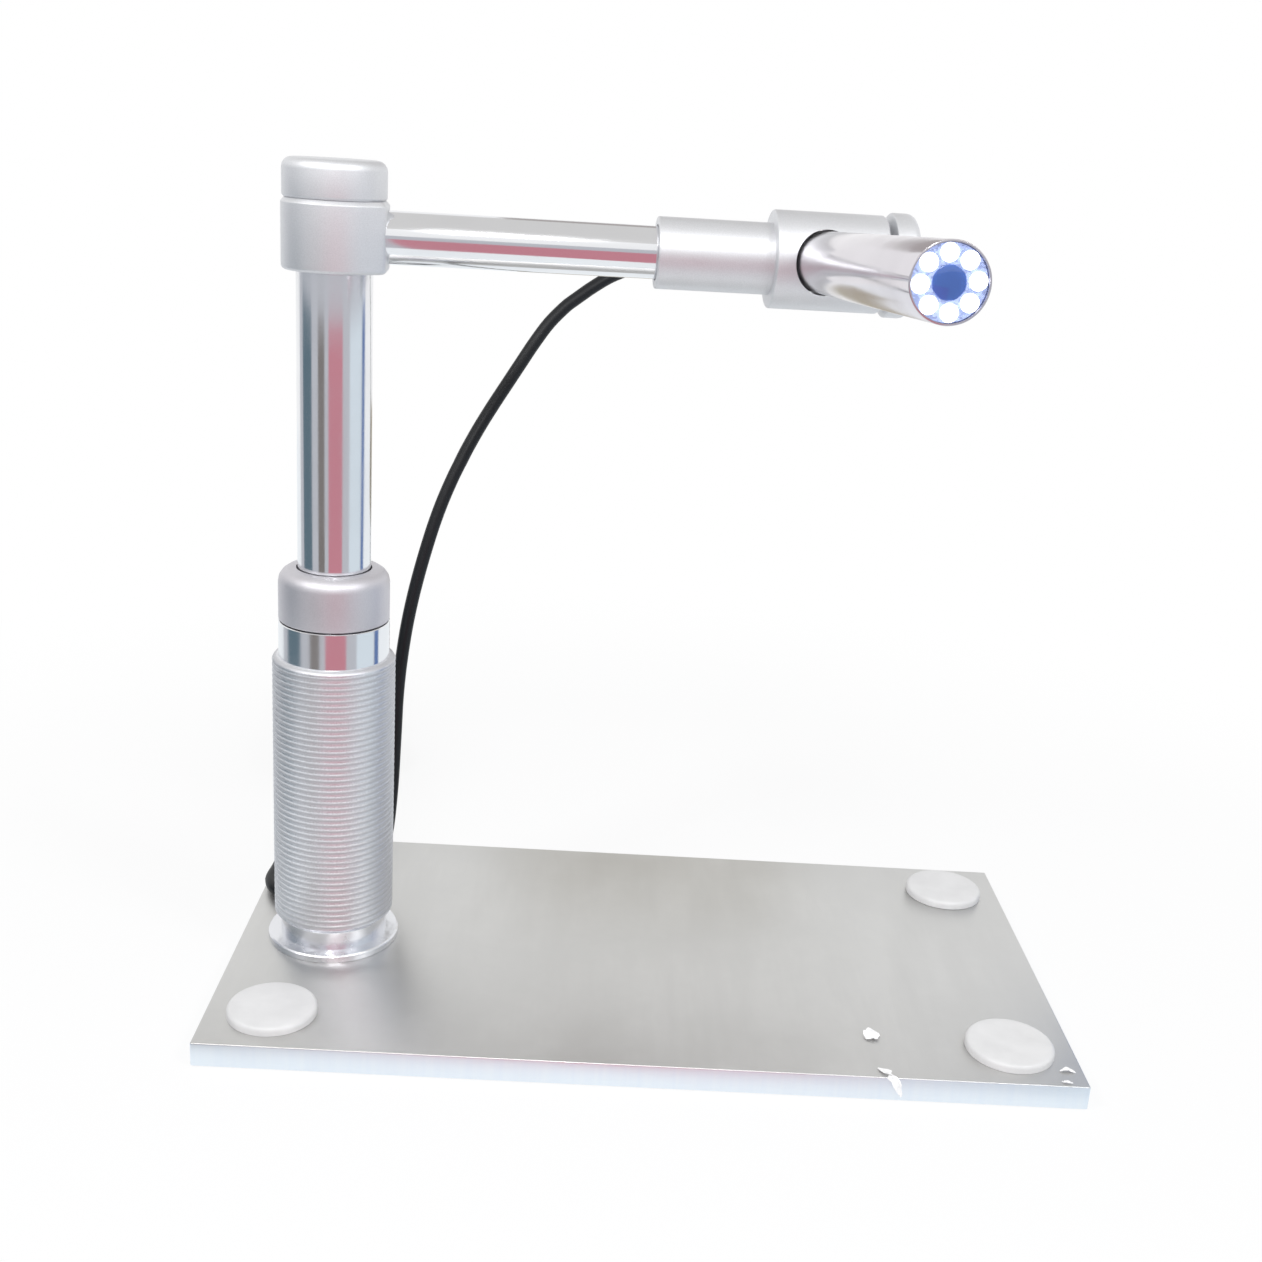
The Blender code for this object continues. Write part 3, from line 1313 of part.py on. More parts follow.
def build_all():
    """Build every part on the axes of the stand, the arm, the microscope and the hank."""
    column_axis = new_axis("column_axis", (COLUMN_X, 0.0, 0.0), (0.0, 0.0, 0.0))
    arm_turn = (math.pi / 2, 0.0, math.pi / 2 + ARM_TURN)
    arm_axis = new_axis("arm_axis", (COLUMN_X, 0.0, ARM_HEIGHT), arm_turn)
    microscope_turn = (0.0, -math.pi / 2, -MICROSCOPE_TILT)
    microscope_axis = new_axis("microscope_axis", (0.0, 0.0, MICROSCOPE_AXIS), microscope_turn, arm_axis)
    hank_axis = new_axis("hank_axis", HANK_PLACE, (0.0, 0.0, HANK_TURN))
    build_base_plate(column_axis)
    build_pads()
    build_foot_ring(column_axis)
    build_base_screw(column_axis)
    build_handle(column_axis)
    build_collet(column_axis)
    build_lock_collar(column_axis)
    build_column(column_axis)
    build_elbow_head(column_axis, arm_axis)
    build_head_cap(column_axis)
    build_arm(arm_axis)
    build_clamp(arm_axis, microscope_axis)
    build_clamp_screw(arm_axis)
    build_barrel(microscope_axis)
    build_face(microscope_axis)
    build_optics(microscope_axis)
    build_sensor(microscope_axis)
    build_rear(microscope_axis)
    build_focus_ring(microscope_axis)
    build_strain_relief(microscope_axis)
    build_cord(microscope_axis, hank_axis)
    build_cord_tie(hank_axis)
    build_plug(hank_axis)


build_all()
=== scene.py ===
"""Looks for a USB pen microscope on a column stand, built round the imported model.

Sizes in the tables below are millimetres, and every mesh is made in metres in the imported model's frame:
+Z up, -Y the front, the origin under the middle of the base plate. Turned pieces are (radius, height)
profiles about the axis of the stand, the arm or the microscope, with a corner's rounding as a third number.
"""

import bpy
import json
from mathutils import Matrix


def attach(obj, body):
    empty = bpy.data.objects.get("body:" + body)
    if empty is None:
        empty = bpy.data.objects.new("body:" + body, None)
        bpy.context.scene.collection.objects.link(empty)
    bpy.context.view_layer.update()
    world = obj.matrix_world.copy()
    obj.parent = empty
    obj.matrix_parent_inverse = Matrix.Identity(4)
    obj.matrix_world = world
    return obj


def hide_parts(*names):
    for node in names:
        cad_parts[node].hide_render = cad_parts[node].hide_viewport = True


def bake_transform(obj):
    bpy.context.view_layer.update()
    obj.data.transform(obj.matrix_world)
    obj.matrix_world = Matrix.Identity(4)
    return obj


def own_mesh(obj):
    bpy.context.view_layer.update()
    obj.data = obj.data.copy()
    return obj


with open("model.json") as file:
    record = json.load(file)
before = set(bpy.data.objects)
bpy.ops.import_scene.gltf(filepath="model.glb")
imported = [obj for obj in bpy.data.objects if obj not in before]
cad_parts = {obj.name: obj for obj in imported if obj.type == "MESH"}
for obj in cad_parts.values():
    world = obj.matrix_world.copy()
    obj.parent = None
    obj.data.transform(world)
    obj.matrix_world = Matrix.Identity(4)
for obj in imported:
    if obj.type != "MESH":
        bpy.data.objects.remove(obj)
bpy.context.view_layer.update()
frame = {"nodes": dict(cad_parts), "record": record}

import json
import math
import random

import bmesh
import bpy
from mathutils import Euler, Matrix, Vector

MM = 0.001
MICRON = 0.000001
# The clearance between pieces that fit in each other
GAP = 0.3
NODES = frame["nodes"]

# Axes of the stand, the arm and the microscope
ARM_HEIGHT = 159.15
ARM_TURN = math.radians(4.1)
CROSS_BORE = 96.93
TILT = math.radians(2.65)
COLUMN_PLACE = -70.0
STAND = Matrix.Translation((COLUMN_PLACE * MM, 0.0, 0.0))
ARM = Matrix.Translation((COLUMN_PLACE * MM, 0.0, ARM_HEIGHT * MM)) @ Euler(
    (math.pi / 2, 0.0, math.pi / 2 + ARM_TURN)
).to_matrix().to_4x4()
SCOPE = ARM @ Matrix.Translation((0.0, 0.0, CROSS_BORE * MM)) @ Euler(
    (0.0, -math.pi / 2, -TILT)
).to_matrix().to_4x4()

# Camera, fitted to the photograph's plate, column, handle and head
CAMERA_PLACE = (-14.17, -311.52, 179.95)
CAMERA_YAW = math.radians(1.36)
CAMERA_PITCH = math.radians(17.68)
CAMERA_ROLL = math.radians(3.61)
FOCAL_PIXELS = 1530.8
FRAME_PIXELS = 1262.0
SENSOR_WIDTH = 36.0
CLIP_START = 0.01
CLIP_END = 50.0


def placed(name, data):
    """An object of some data, put into the scene."""
    made = bpy.data.objects.new(name, data)
    bpy.context.scene.collection.objects.link(made)
    return made


def make_camera():
    """The photograph's view."""
    data = bpy.data.cameras.new("camera")
    data.sensor_width = SENSOR_WIDTH
    data.lens = SENSOR_WIDTH * FOCAL_PIXELS / FRAME_PIXELS
    data.clip_start = CLIP_START
    data.clip_end = CLIP_END
    camera = placed("camera", data)
    reach = math.cos(CAMERA_PITCH)
    drop = math.sin(CAMERA_PITCH)
    ahead = Vector((math.sin(CAMERA_YAW) * reach, math.cos(CAMERA_YAW) * reach, -drop))
    level = Vector((math.cos(CAMERA_YAW), -math.sin(CAMERA_YAW), 0.0))
    down = ahead.cross(level)
    right = level * math.cos(CAMERA_ROLL) - down * math.sin(CAMERA_ROLL)
    up = -(level * math.sin(CAMERA_ROLL) + down * math.cos(CAMERA_ROLL))
    turn = Matrix((right, up, -ahead)).transposed().to_4x4()
    camera.matrix_world = Matrix.Translation(Vector(CAMERA_PLACE) * MM) @ turn
    bpy.context.scene.camera = camera


# Materials

# The Mix node's colour sockets share their names with its other types', so they go by number
MIX_COLOURS = (6, 7)
MIX_RESULT = 2


def socket_name(word):
    """A socket's name from the same words joined by underscores."""
    return word.replace("_", " ").title().replace("Ior", "IOR")


def set_sockets(node, values):
    """The node, with its input sockets set by name."""
    for socket, value in values.items():
        node.inputs[socket_name(socket)].default_value = value
    return node


class Nodes:
    """A node tree and short ways to add to it."""

    def __init__(self, tree):
        self.tree = tree

    def node(self, kind, **values):
        """A node of a kind, with its input sockets set by name."""
        return set_sockets(self.tree.nodes.new("ShaderNode" + kind), values)

    def link(self, source, target):
        self.tree.links.new(source, target)

    def maths(self, operation, first, second):
        """Two values brought together by an operation."""
        made = self.node("Math")
        made.operation = operation
        self.link(first, made.inputs[0])
        self.link(second, made.inputs[1])
        return made.outputs[0]


class Look(Nodes):
    """A Principled material and short ways to add procedural nodes to it."""

    def __init__(self, name, colour, metallic=0.0, roughness=0.5, **sockets):
        self.material = bpy.data.materials.new(name)
        self.material.use_nodes = True
        super().__init__(self.material.node_tree)
        self.shader = self.tree.nodes["Principled BSDF"]
        basics = {"base_color": (*colour, 1.0), "metallic": metallic, "roughness": roughness}
        set_sockets(self.shader, basics | sockets)
        self.place = self.node("TexCoord").outputs["Object"]

    def noise(self, scale, detail=2.0, roughness=0.5, stretch=None):
        """Noise from 0 to 1 with a number of features per metre, drawn out along an axis if asked."""
        place = self.place
        if stretch:
            mapping = self.node("Mapping", scale=stretch)
            self.link(place, mapping.inputs["Vector"])
            place = mapping.outputs["Vector"]
        made = self.node("TexNoise", scale=scale, detail=detail, roughness=roughness)
        self.link(place, made.inputs["Vector"])
        return made.outputs["Fac"]

    def ramp(self, value, *stops):
        """Colours or greys between places along a value."""
        made = self.node("ValToRGB")
        elements = made.color_ramp.elements
        while len(elements) < len(stops):
            elements.new(0.5)
        for element, (place, colour) in zip(elements, stops):
            element.position = place
            element.color = (*colour, 1.0) if isinstance(colour, tuple) else (colour,) * 3 + (1.0,)
        self.link(value, made.inputs["Fac"])
        return made.outputs["Color"]

    def span(self, value, low, high, source=(0.0, 1.0)):
        """A value brought from one range into another."""
        made = self.node("MapRange", from_min=source[0], from_max=source[1], to_min=low, to_max=high)
        self.link(value, made.inputs["Value"])
        return made.outputs["Result"]

    def mix(self, share, first, second):
        """Two colours mixed by a value."""
        made = self.node("Mix")
        made.data_type = "RGBA"
        self.link(share, made.inputs["Factor"])
        for socket, colour in zip(MIX_COLOURS, (first, second)):
            if isinstance(colour, tuple):
                made.inputs[socket].default_value = (*colour, 1.0)
            else:
                self.link(colour, made.inputs[socket])
        return made.outputs[MIX_RESULT]

    def bump(self, height, depth, strength=1.0, below=None):
        """A bump of a depth in metres, over another bump if one is given."""
        made = self.node("Bump", strength=strength, distance=depth)
        self.link(height, made.inputs["Height"])
        if below is not None:
            self.link(below, made.inputs["Normal"])
        return made.outputs["Normal"]

    def use(self, **outputs):
        """Links outputs to the shader's sockets by name."""
        for socket, output in outputs.items():
            self.link(output, self.shader.inputs[socket_name(socket)])
        return self.material


# A noise's scale along each axis, where a small one draws it out into streaks along that axis
ALONG_COLUMN = (1.0, 1.0, 0.05)
ALONG_ARM = (0.05, 1.0, 1.0)
ACROSS_PLATE = (1.0, 0.16, 1.0)
DOWN_EDGES = (1.0, 1.0, 0.08)
EVEN = (1.0, 1.0, 1.0)
# A wave texture of this scale has one band a metre
WAVE_SCALE = math.tau / 20


def shade(colour, share):
    """A colour made darker or lighter by a share."""
    return tuple(min(1.0, value * share) for value in colour)


def blasted_metal(name, colour, roughness, metallic=1.0, grain=5200.0, depth=18 * MICRON):
    """Fine bead-blasted metal with faint cloudiness. Its oxide skin scatters where it isn't all metal."""
    look = Look(name, colour, metallic, roughness)
    fine = look.noise(grain, detail=3.0)
    cloud = look.noise(70.0)
    speckle = look.mix(look.span(fine, 0.0, 1.0, (0.35, 0.65)), shade(colour, 0.94), shade(colour, 1.05))
    tint = look.mix(look.span(cloud, 0.0, 0.35), speckle, shade(colour, 0.97))
    rough = look.span(cloud, roughness - 0.05, roughness + 0.06)
    return look.use(base_color=tint, roughness=rough, normal=look.bump(fine, depth))


def polished_metal(name, colour, roughness, along, waviness=0.0):
    """Bright plating with faint handling marks drawn along an axis, and a depth of slow waves in metres."""
    look = Look(name, colour, 1.0, roughness)
    smudge = look.noise(55.0, detail=4.0)
    lines = look.noise(900.0, roughness=0.6, stretch=along)
    tint = look.mix(look.span(smudge, 0.0, 1.0, (0.4, 0.7)), colour, shade(colour, 0.96))
    rough = look.span(smudge, roughness * 0.7, roughness * 1.5, (0.35, 0.7))
    bumps = look.bump(lines, 3 * MICRON, strength=0.5)
    if waviness:
        bumps = look.bump(look.noise(260.0), waviness, strength=0.6, below=bumps)
    return look.use(base_color=tint, roughness=rough, normal=bumps)


def plate_metal(name, colour, roughness):
    """Rolled plate with a mottled grain and faint drawn streaks; its sawn sides carry saw marks under a
    painted pale blue-white sheen.
    """
    look = Look(name, colour, 1.0, roughness)
    mottle = look.noise(26.0, detail=5.0, roughness=0.62)
    grain = look.noise(2600.0, detail=3.0)
    streaks = look.noise(140.0, detail=3.0, roughness=0.6, stretch=ACROSS_PLATE)
    warm = look.mix(look.span(mottle, 0.0, 1.0, (0.38, 0.64)), shade(colour, 0.95), shade(colour, 1.04))
    tint = look.mix(look.span(streaks, 0.0, 0.5, (0.4, 0.7)), warm, shade(colour, 0.93))
    rough = look.span(mottle, roughness - 0.05, roughness + 0.08, (0.3, 0.7))
    bumps = look.bump(streaks, 30 * MICRON, strength=0.5, below=look.bump(grain, 10 * MICRON))
    # Painted reflection: faces that do not face up get a pale blue-white in place of the plate's colour,
    # streaked by saw marks.
    facing = look.node("SeparateXYZ")
    look.link(look.node("NewGeometry").outputs["Normal"], facing.inputs["Vector"])
    top_against_painted_sides = look.span(facing.outputs["Z"], 0.0, 1.0, (0.25, 0.7))
    saw = look.noise(700.0, roughness=0.6, stretch=DOWN_EDGES)
    edge = look.mix(saw, (0.84, 0.91, 0.99), (0.92, 0.97, 1.0))
    return look.use(base_color=look.mix(top_against_painted_sides, edge, tint), roughness=rough, normal=bumps)


def plain_plastic(name, colour, roughness, grain=3000.0, depth=10 * MICRON, **sockets):
    """Moulded plastic or rubber with a fine skin and a little unevenness."""
    look = Look(name, colour, 0.0, roughness, **sockets)
    skin = look.noise(grain, detail=3.0)
    cloud = look.noise(160.0, detail=3.0)
    tint = look.mix(cloud, shade(colour, 0.88), shade(colour, 1.12))
    rough = look.span(cloud, roughness - 0.06, roughness + 0.08)
    return look.use(base_color=tint, roughness=rough, normal=look.bump(skin, depth))


def lamp_plastic(name):
    """A lit lamp's body, with a faintly uneven glow."""
    look = Look(name, (0.93, 0.95, 1.0), 0.0, 0.25, emission_strength=2.6)
    glow = look.ramp(look.noise(900.0, detail=1.0), (0.0, (0.90, 0.95, 1.0)), (1.0, (1.0, 1.0, 1.0)))
    return look.use(emission_color=glow)


def board_look(name, colour, glow):
    """Solder mask over copper, with a painted glow of its own colour that stands for the light of its lamps.
    """
    # Painted glow: the board gives off light in its own colour, though it is no lamp.
    look = Look(name, colour, 0.0, 0.4, emission_strength=glow)
    tracks = look.ramp(look.noise(1500.0, detail=1.0), (0.46, 0.0), (0.52, 1.0))
    tint = look.mix(tracks, shade(colour, 0.85), shade(colour, 1.25))
    return look.use(base_color=tint, emission_color=tint, normal=look.bump(tracks, 30 * MICRON))


def glass_look(name, colour, **sockets):
    """Glass with faint dust."""
    look = Look(name, colour, 0.0, 0.06, **sockets)
    dust = look.noise(2400.0, detail=4.0)
    return look.use(roughness=look.span(dust, 0.03, 0.16, (0.4, 0.8)))


def knurled_metal(name, colour, roughness, base, pitch):
    """Blasted metal with rings a pitch apart in metres, dull in the grooves between them and darkened there
    by painted shade.
    """
    look = Look(name, colour, 0.88, roughness)
    rings = look.node("TexWave", scale=WAVE_SCALE / pitch)
    rings.bands_direction = "Z"
    rings.inputs["Phase Offset"].default_value = math.pi - math.tau * (base / pitch)
    look.link(look.place, rings.inputs["Vector"])
    crest = rings.outputs["Fac"]
    fine = look.noise(3200.0, detail=3.0)
    worn = look.mix(look.span(fine, 0.0, 1.0, (0.35, 0.65)), shade(colour, 0.90), shade(colour, 1.10))
    # Painted shade: the colour in the grooves falls to about three quarters of the crests' colour.
    tint = look.mix(look.span(crest, 0.0, 1.0, (0.05, 0.6)), shade(colour, 0.76), worn)
    rough = look.span(crest, roughness + 0.12, roughness - 0.06)
    return look.use(base_color=tint, roughness=rough, normal=look.bump(fine, 30 * MICRON))


LOOKS = {
    "plate_metal": plate_metal("plate_metal", (0.66, 0.66, 0.65), 0.38),
    "chrome": polished_metal("chrome", (0.84, 0.85, 0.87), 0.15, ALONG_COLUMN),
    "satin_metal": blasted_metal("satin_metal", (0.71, 0.72, 0.74), 0.49, 0.86),
    "barrel_metal": polished_metal("barrel_metal", (0.72, 0.69, 0.73), 0.14, ALONG_ARM),
    "steel": blasted_metal("steel", (0.52, 0.52, 0.53), 0.3),
    "brass": blasted_metal("brass", (0.72, 0.55, 0.28), 0.3),
    "pad_plastic": plain_plastic("pad_plastic", (0.72, 0.72, 0.725), 0.36, 2200.0),
    "black_plastic": plain_plastic("black_plastic", (0.030, 0.030, 0.033), 0.42, 4200.0),
    "black_rubber": plain_plastic(
        "black_rubber", (0.006, 0.007, 0.009), 0.42, 5200.0, 3 * MICRON, specular_ior_level=0.3
    ),
    "circuit_board": board_look("circuit_board", (0.27, 0.33, 0.56), 0.30),
    "sensor_glass": glass_look("sensor_glass", (0.05, 0.06, 0.07)),
    "led_white": lamp_plastic("led_white"),
    "blue_glass": glass_look("blue_glass", (0.035, 0.095, 0.34), coat_weight=1.0),
    "clear_glass": glass_look("clear_glass", (0.80, 0.88, 0.92), transmission_weight=0.9),
}
FOOT_CHROME = polished_metal("foot_chrome", (0.80, 0.81, 0.84), 0.24, EVEN, 250 * MICRON)
# Painted glint: the film scraps are an opaque near-white, not clear.
PAINTED_GLINT_FILM = plain_plastic("painted_glint_film", (0.93, 0.93, 0.94), 0.3, 2600.0)
COLLAR_SATIN = blasted_metal("collar_satin", (0.62, 0.61, 0.64), 0.49, 0.86)
ARM_CHROME = polished_metal("arm_chrome", (0.84, 0.85, 0.87), 0.11, ALONG_ARM)


def dress_packed_nodes():
    """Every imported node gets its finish's material, also where a new piece stands for it."""
    for row in frame["record"]["subparts"]:
        node = NODES[row["node"]]
        node.data.materials.clear()
        node.data.materials.append(LOOKS[row["material_slot"]])


# Mesh helpers

# Roundings of edges that many pieces share
CRISP = 0.1
NARROW = 0.15
SMALL = 0.2
MEDIUM = 0.3
WIDE = 0.5
# A radius that counts as on the axis, and a bend in radians that is too slight to round
ON_AXIS = 0.000001
SLIGHT_BEND = 0.02


def new_piece(name, mesh, body, slot, nodes, look=None):
    """Put a mesh into the scene as a piece on a body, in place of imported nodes."""
    piece = placed(name, mesh)
    mesh.materials.append(look or LOOKS[slot])
    if body:
        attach(piece, body)
    if nodes:
        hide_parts(*nodes)
    return piece


def smooth_faces(mesh, angle=32.0):
    """Smooth shading with creases where faces meet at more than an angle."""
    mesh.shade_smooth()
    mesh.set_sharp_from_angle(angle=math.radians(angle))


def filleted(profile, steps=4):
    """A profile whose corners are rounded where a point gives a rounding as its third number."""
    result = []
    count = len(profile)
    for index, point in enumerate(profile):
        here = Vector(point[:2])
        if len(point) < 3 or index in (0, count - 1):
            result.append(here)
            continue
        before = (Vector(profile[index - 1][:2]) - here).normalized()
        after = (Vector(profile[index + 1][:2]) - here).normalized()
        half = before.angle(after) / 2
        if half > math.pi / 2 - SLIGHT_BEND:
            result.append(here)
            continue
        reach = point[2] / math.tan(half)
        centre = here + (before + after).normalized() * point[2] / math.sin(half)
        start = here + before * reach - centre
        end = here + after * reach - centre
        sweep = start.angle_signed(end)
        for step in range(steps + 1):
            angle = -sweep * step / steps
            across = start.x * math.cos(angle) - start.y * math.sin(angle)
            up = start.x * math.sin(angle) + start.y * math.cos(angle)
            result.append(centre + Vector((across, up)))
    return result


def mesh_of(name, shape):
    """A mesh made of a bmesh, which is freed."""
    mesh = bpy.data.meshes.new(name)
    shape.to_mesh(mesh)
    shape.free()
    return mesh


def tube_profile(bore, radius, base, top, edge=None):
    """The profile of a plain tube, or of a rod when the bore is 0, with its outer edges rounded if asked."""
    rounding = (edge,) if edge else ()
    return [(bore, top), (radius, top, *rounding), (radius, base, *rounding), (bore, base)]


def ring_of(shape, height, radii):
    """A ring of points at a height, evenly round the axis, with a radius for each."""
    ring = []
    for step, radius in enumerate(radii):
        angle = math.tau * step / len(radii)
        spot = (radius * math.cos(angle) * MM, radius * math.sin(angle) * MM, height * MM)
        ring.append(shape.verts.new(spot))
    return ring


def join_rings(shape, rings):
    """Faces between neighbouring rings, where a ring on the axis is a single point."""
    for upper, lower in zip(rings, rings[1:]):
        count = max(len(upper), len(lower))
        for step in range(count):
            following = (step + 1) % count
            row = [upper[step % len(upper)], upper[following % len(upper)]]
            row += [lower[following % len(lower)], lower[step % len(lower)]]
            corners = list(dict.fromkeys(row))
            if len(corners) > 2:
                shape.faces.new(corners)


def lathe_mesh(name, profile, axis, segments=96, closed=False):
    """A profile turned about an axis, in metres, with its end joined to its start when closed."""
    shape = bmesh.new()
    rings = []
    for radius, height in profile:
        rings.append(ring_of(shape, height, [radius] * (1 if radius < ON_AXIS else segments)))
    join_rings(shape, rings + rings[:1] if closed else rings)
    bmesh.ops.recalc_face_normals(shape, faces=shape.faces)
    mesh = mesh_of(name, shape)
    mesh.transform(axis)
    smooth_faces(mesh)
    return mesh


def turned(name, profile, axis, body, slot, nodes, closed=False, segments=96, look=None):
    """A piece turned from a profile with rounded corners."""
    mesh = lathe_mesh(name, filleted(profile), axis, segments, closed)
    return new_piece(name, mesh, body, slot, nodes, look)


def cut(piece, mesh):
    """Cut a mesh out of a piece."""
    cutter = placed("cutter", mesh)
    boolean = piece.modifiers.new("Cut", "BOOLEAN")
    boolean.solver = "EXACT"
    boolean.object = cutter
    bpy.context.view_layer.update()
    graph = bpy.context.evaluated_depsgraph_get()
    shape = bpy.data.meshes.new_from_object(piece.evaluated_get(graph))
    piece.modifiers.clear()
    rough = piece.data
    piece.data = shape
    smooth_faces(shape)
    bpy.data.objects.remove(cutter, do_unlink=True)
    bpy.data.meshes.remove(rough)


# Cord, on the route that the part's source has

CORD_RADIUS = 1.5
CORD_SPACING = 6.0
CORD_LENGTHS = (33.0, 33.0, 51.0, 96.0)
CORD_START = -49.1
CORD_ROUTE = (
    (20.2, 65.7, 156.3), (13.1, 69.2, 155.8), (5.0, 67.8, 155.0), (-4.5, 62.8, 153.4),
    (-11.8, 58.6, 151.1), (-18.3, 55.0, 147.9), (-28.1, 50.0, 140.0), (-37.4, 44.0, 125.9),
    (-45.2, 38.0, 112.5), (-51.0, 33.0, 99.2), (-54.9, 29.0, 85.7), (-57.7, 26.0, 72.0),
    (-59.3, 24.0, 57.9), (-59.7, 22.5, 46.0), (-60.1, 21.3, 33.0), (-61.0, 20.3, 21.5),
    (-62.8, 19.4, 13.4), (-67.2, 18.2, 8.3), (-73.6, 17.0, 7.1), (-77.2, 15.7, 7.1),
    (-80.3, 13.9, 7.1), (-82.8, 13.5, 7.1), (-85.6, 14.3, 7.1), (-87.7, 16.5, 7.1),
    (-88.4, 19.6, 7.1), (-88.3, 26.0, 7.1), (-88.1, 34.0, 7.1), (-88.0, 42.0, 7.1),
    (-88.1, 47.8, 7.1), (-88.6, 53.0, 5.8), (-89.5, 59.0, 3.4), (-90.9, 66.0, 2.0),
    (-92.8, 74.0, 1.8), (-95.1, 82.0, 2.0),
)
HANK = Matrix.Translation((-92.9, 128.0, 0.0)) @ Matrix.Rotation(math.radians(100.2), 4, "Z")
HANK_RUN = 50.0
HANK_INNER_HALF_WIDTH = 9.0
HANK_STEP = 3.6
HANK_LAYER_PITCH = 3.5
HANK_HALF_TURNS = 12
HANK_LAYER_HALF_TURNS = 3
HANK_FIRST_CLIMB = 3
HANK_RUN_SHARE = 0.6
HANK_WAIST_DRAW = 3.5
HANK_BASE = 2.5
HANK_REVERSAL = HANK_FIRST_CLIMB + HANK_RUN_SHARE / 2
HANK_RUN_STEPS = 8
HANK_FOLD_STEPS = 14
TAIL_ROUTE = (
    (-15.0, 13.0, 14.4), (-10.0, 10.0, 16.8), (-5.0, 5.0, 18.2), (0.0, 1.4, 18.8), (4.0, 0.0, 18.8),
    (7.7, 0.0, 18.8),
)
FINE_STEPS = 24


def curve_point(before, start, end, after, share):
    """A point between start and end on a smooth curve through four points."""
    square = share * share
    cube = square * share
    return (
        start * 2
        + (end - before) * share
        + (before * 2 - start * 5 + end * 4 - after) * square
        + (start * 3 - before - end * 3 + after) * cube
    ) / 2


def even_points(points, spacing):
    """Points a steady distance apart along a line of points, both ends kept."""
    lengths = [0.0]
    for first, second in zip(points, points[1:]):
        lengths.append(lengths[-1] + (second - first).length)
    count = max(1, round(lengths[-1] / spacing))
    result = []
    index = 0
    for step in range(count + 1):
        wanted = lengths[-1] * step / count
        while index < len(points) - 2 and lengths[index + 1] < wanted:
            index += 1
        share = (wanted - lengths[index]) / (lengths[index + 1] - lengths[index])
        result.append(points[index].lerp(points[index + 1], share))
    return result


def smooth_route(points, spacing):
    """Even points on a smooth curve, with its first and last stretches kept straight."""
    middle = points[1:-1]
    padded = [points[0]] + middle + [points[-1]]
    fine = []
    for index in range(len(middle) - 1):
        before, start, end, after = padded[index : index + 4]
        for step in range(FINE_STEPS):
            fine.append(curve_point(before, start, end, after, step / FINE_STEPS))
    fine.append(middle[-1])
    return [points[0]] + even_points(fine, spacing) + [points[-1]]


def split_route(points, length):
    """Cut a route in two near a length from its start, in the middle of a segment."""
    run = 0.0
    for index, (first, second) in enumerate(zip(points, points[1:])):
        run += (second - first).length
        if run >= length:
            break
    middle = (first + second) / 2
    return points[: index + 1] + [middle], [middle] + points[index + 1 :]


def spiral_half_width(half_turns):
    """Half width of the hank's loops, which spiral in and out again at a steady rate."""
    period = HANK_LAYER_HALF_TURNS * 2
    phase = (half_turns - HANK_REVERSAL) % period
    steps = min(phase, period - phase)
    if half_turns < HANK_REVERSAL:
        steps = HANK_REVERSAL - half_turns
    return HANK_INNER_HALF_WIDTH + HANK_STEP / 2 * steps


def hank_height(half_turns):
    """Height of the cord's middle, which climbs a layer along each run where the spiral reverses."""
    height = HANK_BASE
    for climb in range(HANK_FIRST_CLIMB, HANK_HALF_TURNS, HANK_LAYER_HALF_TURNS):
        height += HANK_LAYER_PITCH * min(1.0, max(0.0, (half_turns - climb) / HANK_RUN_SHARE))
    return height


def hank_point(half_turns):
    """A point of the hank in its own frame, at a number of half turns from its start."""
    whole = math.floor(half_turns)
    within = half_turns - whole
    side = 1 if whole % 2 == 0 else -1
    half_width = spiral_half_width(half_turns)
    height = hank_height(half_turns)
    if within <= HANK_RUN_SHARE:
        along = within / HANK_RUN_SHARE * 2 - 1
        draw = HANK_WAIST_DRAW * (1 + math.cos(math.pi * along)) / 2
        return Vector((HANK_RUN / 2 * along * side, (half_width - draw) * side, height))
    turn = math.pi * (within - HANK_RUN_SHARE) / (1 - HANK_RUN_SHARE)
    along = HANK_RUN / 2 + half_width * math.sin(turn)
    return Vector((along * side, half_width * math.cos(turn) * side, height))


def hank_points():
    """The hank's line of points, with a straight diameter at each end."""
    lead = Vector((CORD_RADIUS * 2, 0.0, 0.0))
    points = [hank_point(0) - lead]
    for whole in range(HANK_HALF_TURNS):
        for step in range(HANK_RUN_STEPS):
            points.append(hank_point(whole + HANK_RUN_SHARE * step / HANK_RUN_STEPS))
        for step in range(HANK_FOLD_STEPS):
            share = HANK_RUN_SHARE + (1 - HANK_RUN_SHARE) * step / HANK_FOLD_STEPS
            points.append(hank_point(whole + share))
    last = hank_point(HANK_HALF_TURNS)
    return points + [last, last + lead]


def tube_mesh(name, points, radius, sides=14):
    """A round tube with closed ends along a line of points, in metres, turned as little as it can be."""
    shape = bmesh.new()
    direction = (points[1] - points[0]).normalized()
    across = direction.orthogonal().normalized()
    rings = []
    for index, point in enumerate(points):
        before = points[max(index - 1, 0)]
        after = points[min(index + 1, len(points) - 1)]
        heading = (after - before).normalized()
        across = direction.rotation_difference(heading) @ across
        direction = heading
        other = heading.cross(across)
        ring = []
        for step in range(sides):
            angle = math.tau * step / sides
            out = across * math.cos(angle) + other * math.sin(angle)
            ring.append(shape.verts.new((point + out * radius) * MM))
        rings.append(ring)
    join_rings(shape, rings)
    shape.faces.new(list(reversed(rings[0])))
    shape.faces.new(rings[-1])
    bmesh.ops.recalc_face_normals(shape, faces=shape.faces)
    mesh = mesh_of(name, shape)
    smooth_faces(mesh, angle=50.0)
    return mesh


def cord_piece(name, points, nodes, body=None):
    """A stretch of the cord."""
    mesh = tube_mesh(name, points, CORD_RADIUS)
    return new_piece(name, mesh, body, "black_rubber", nodes)


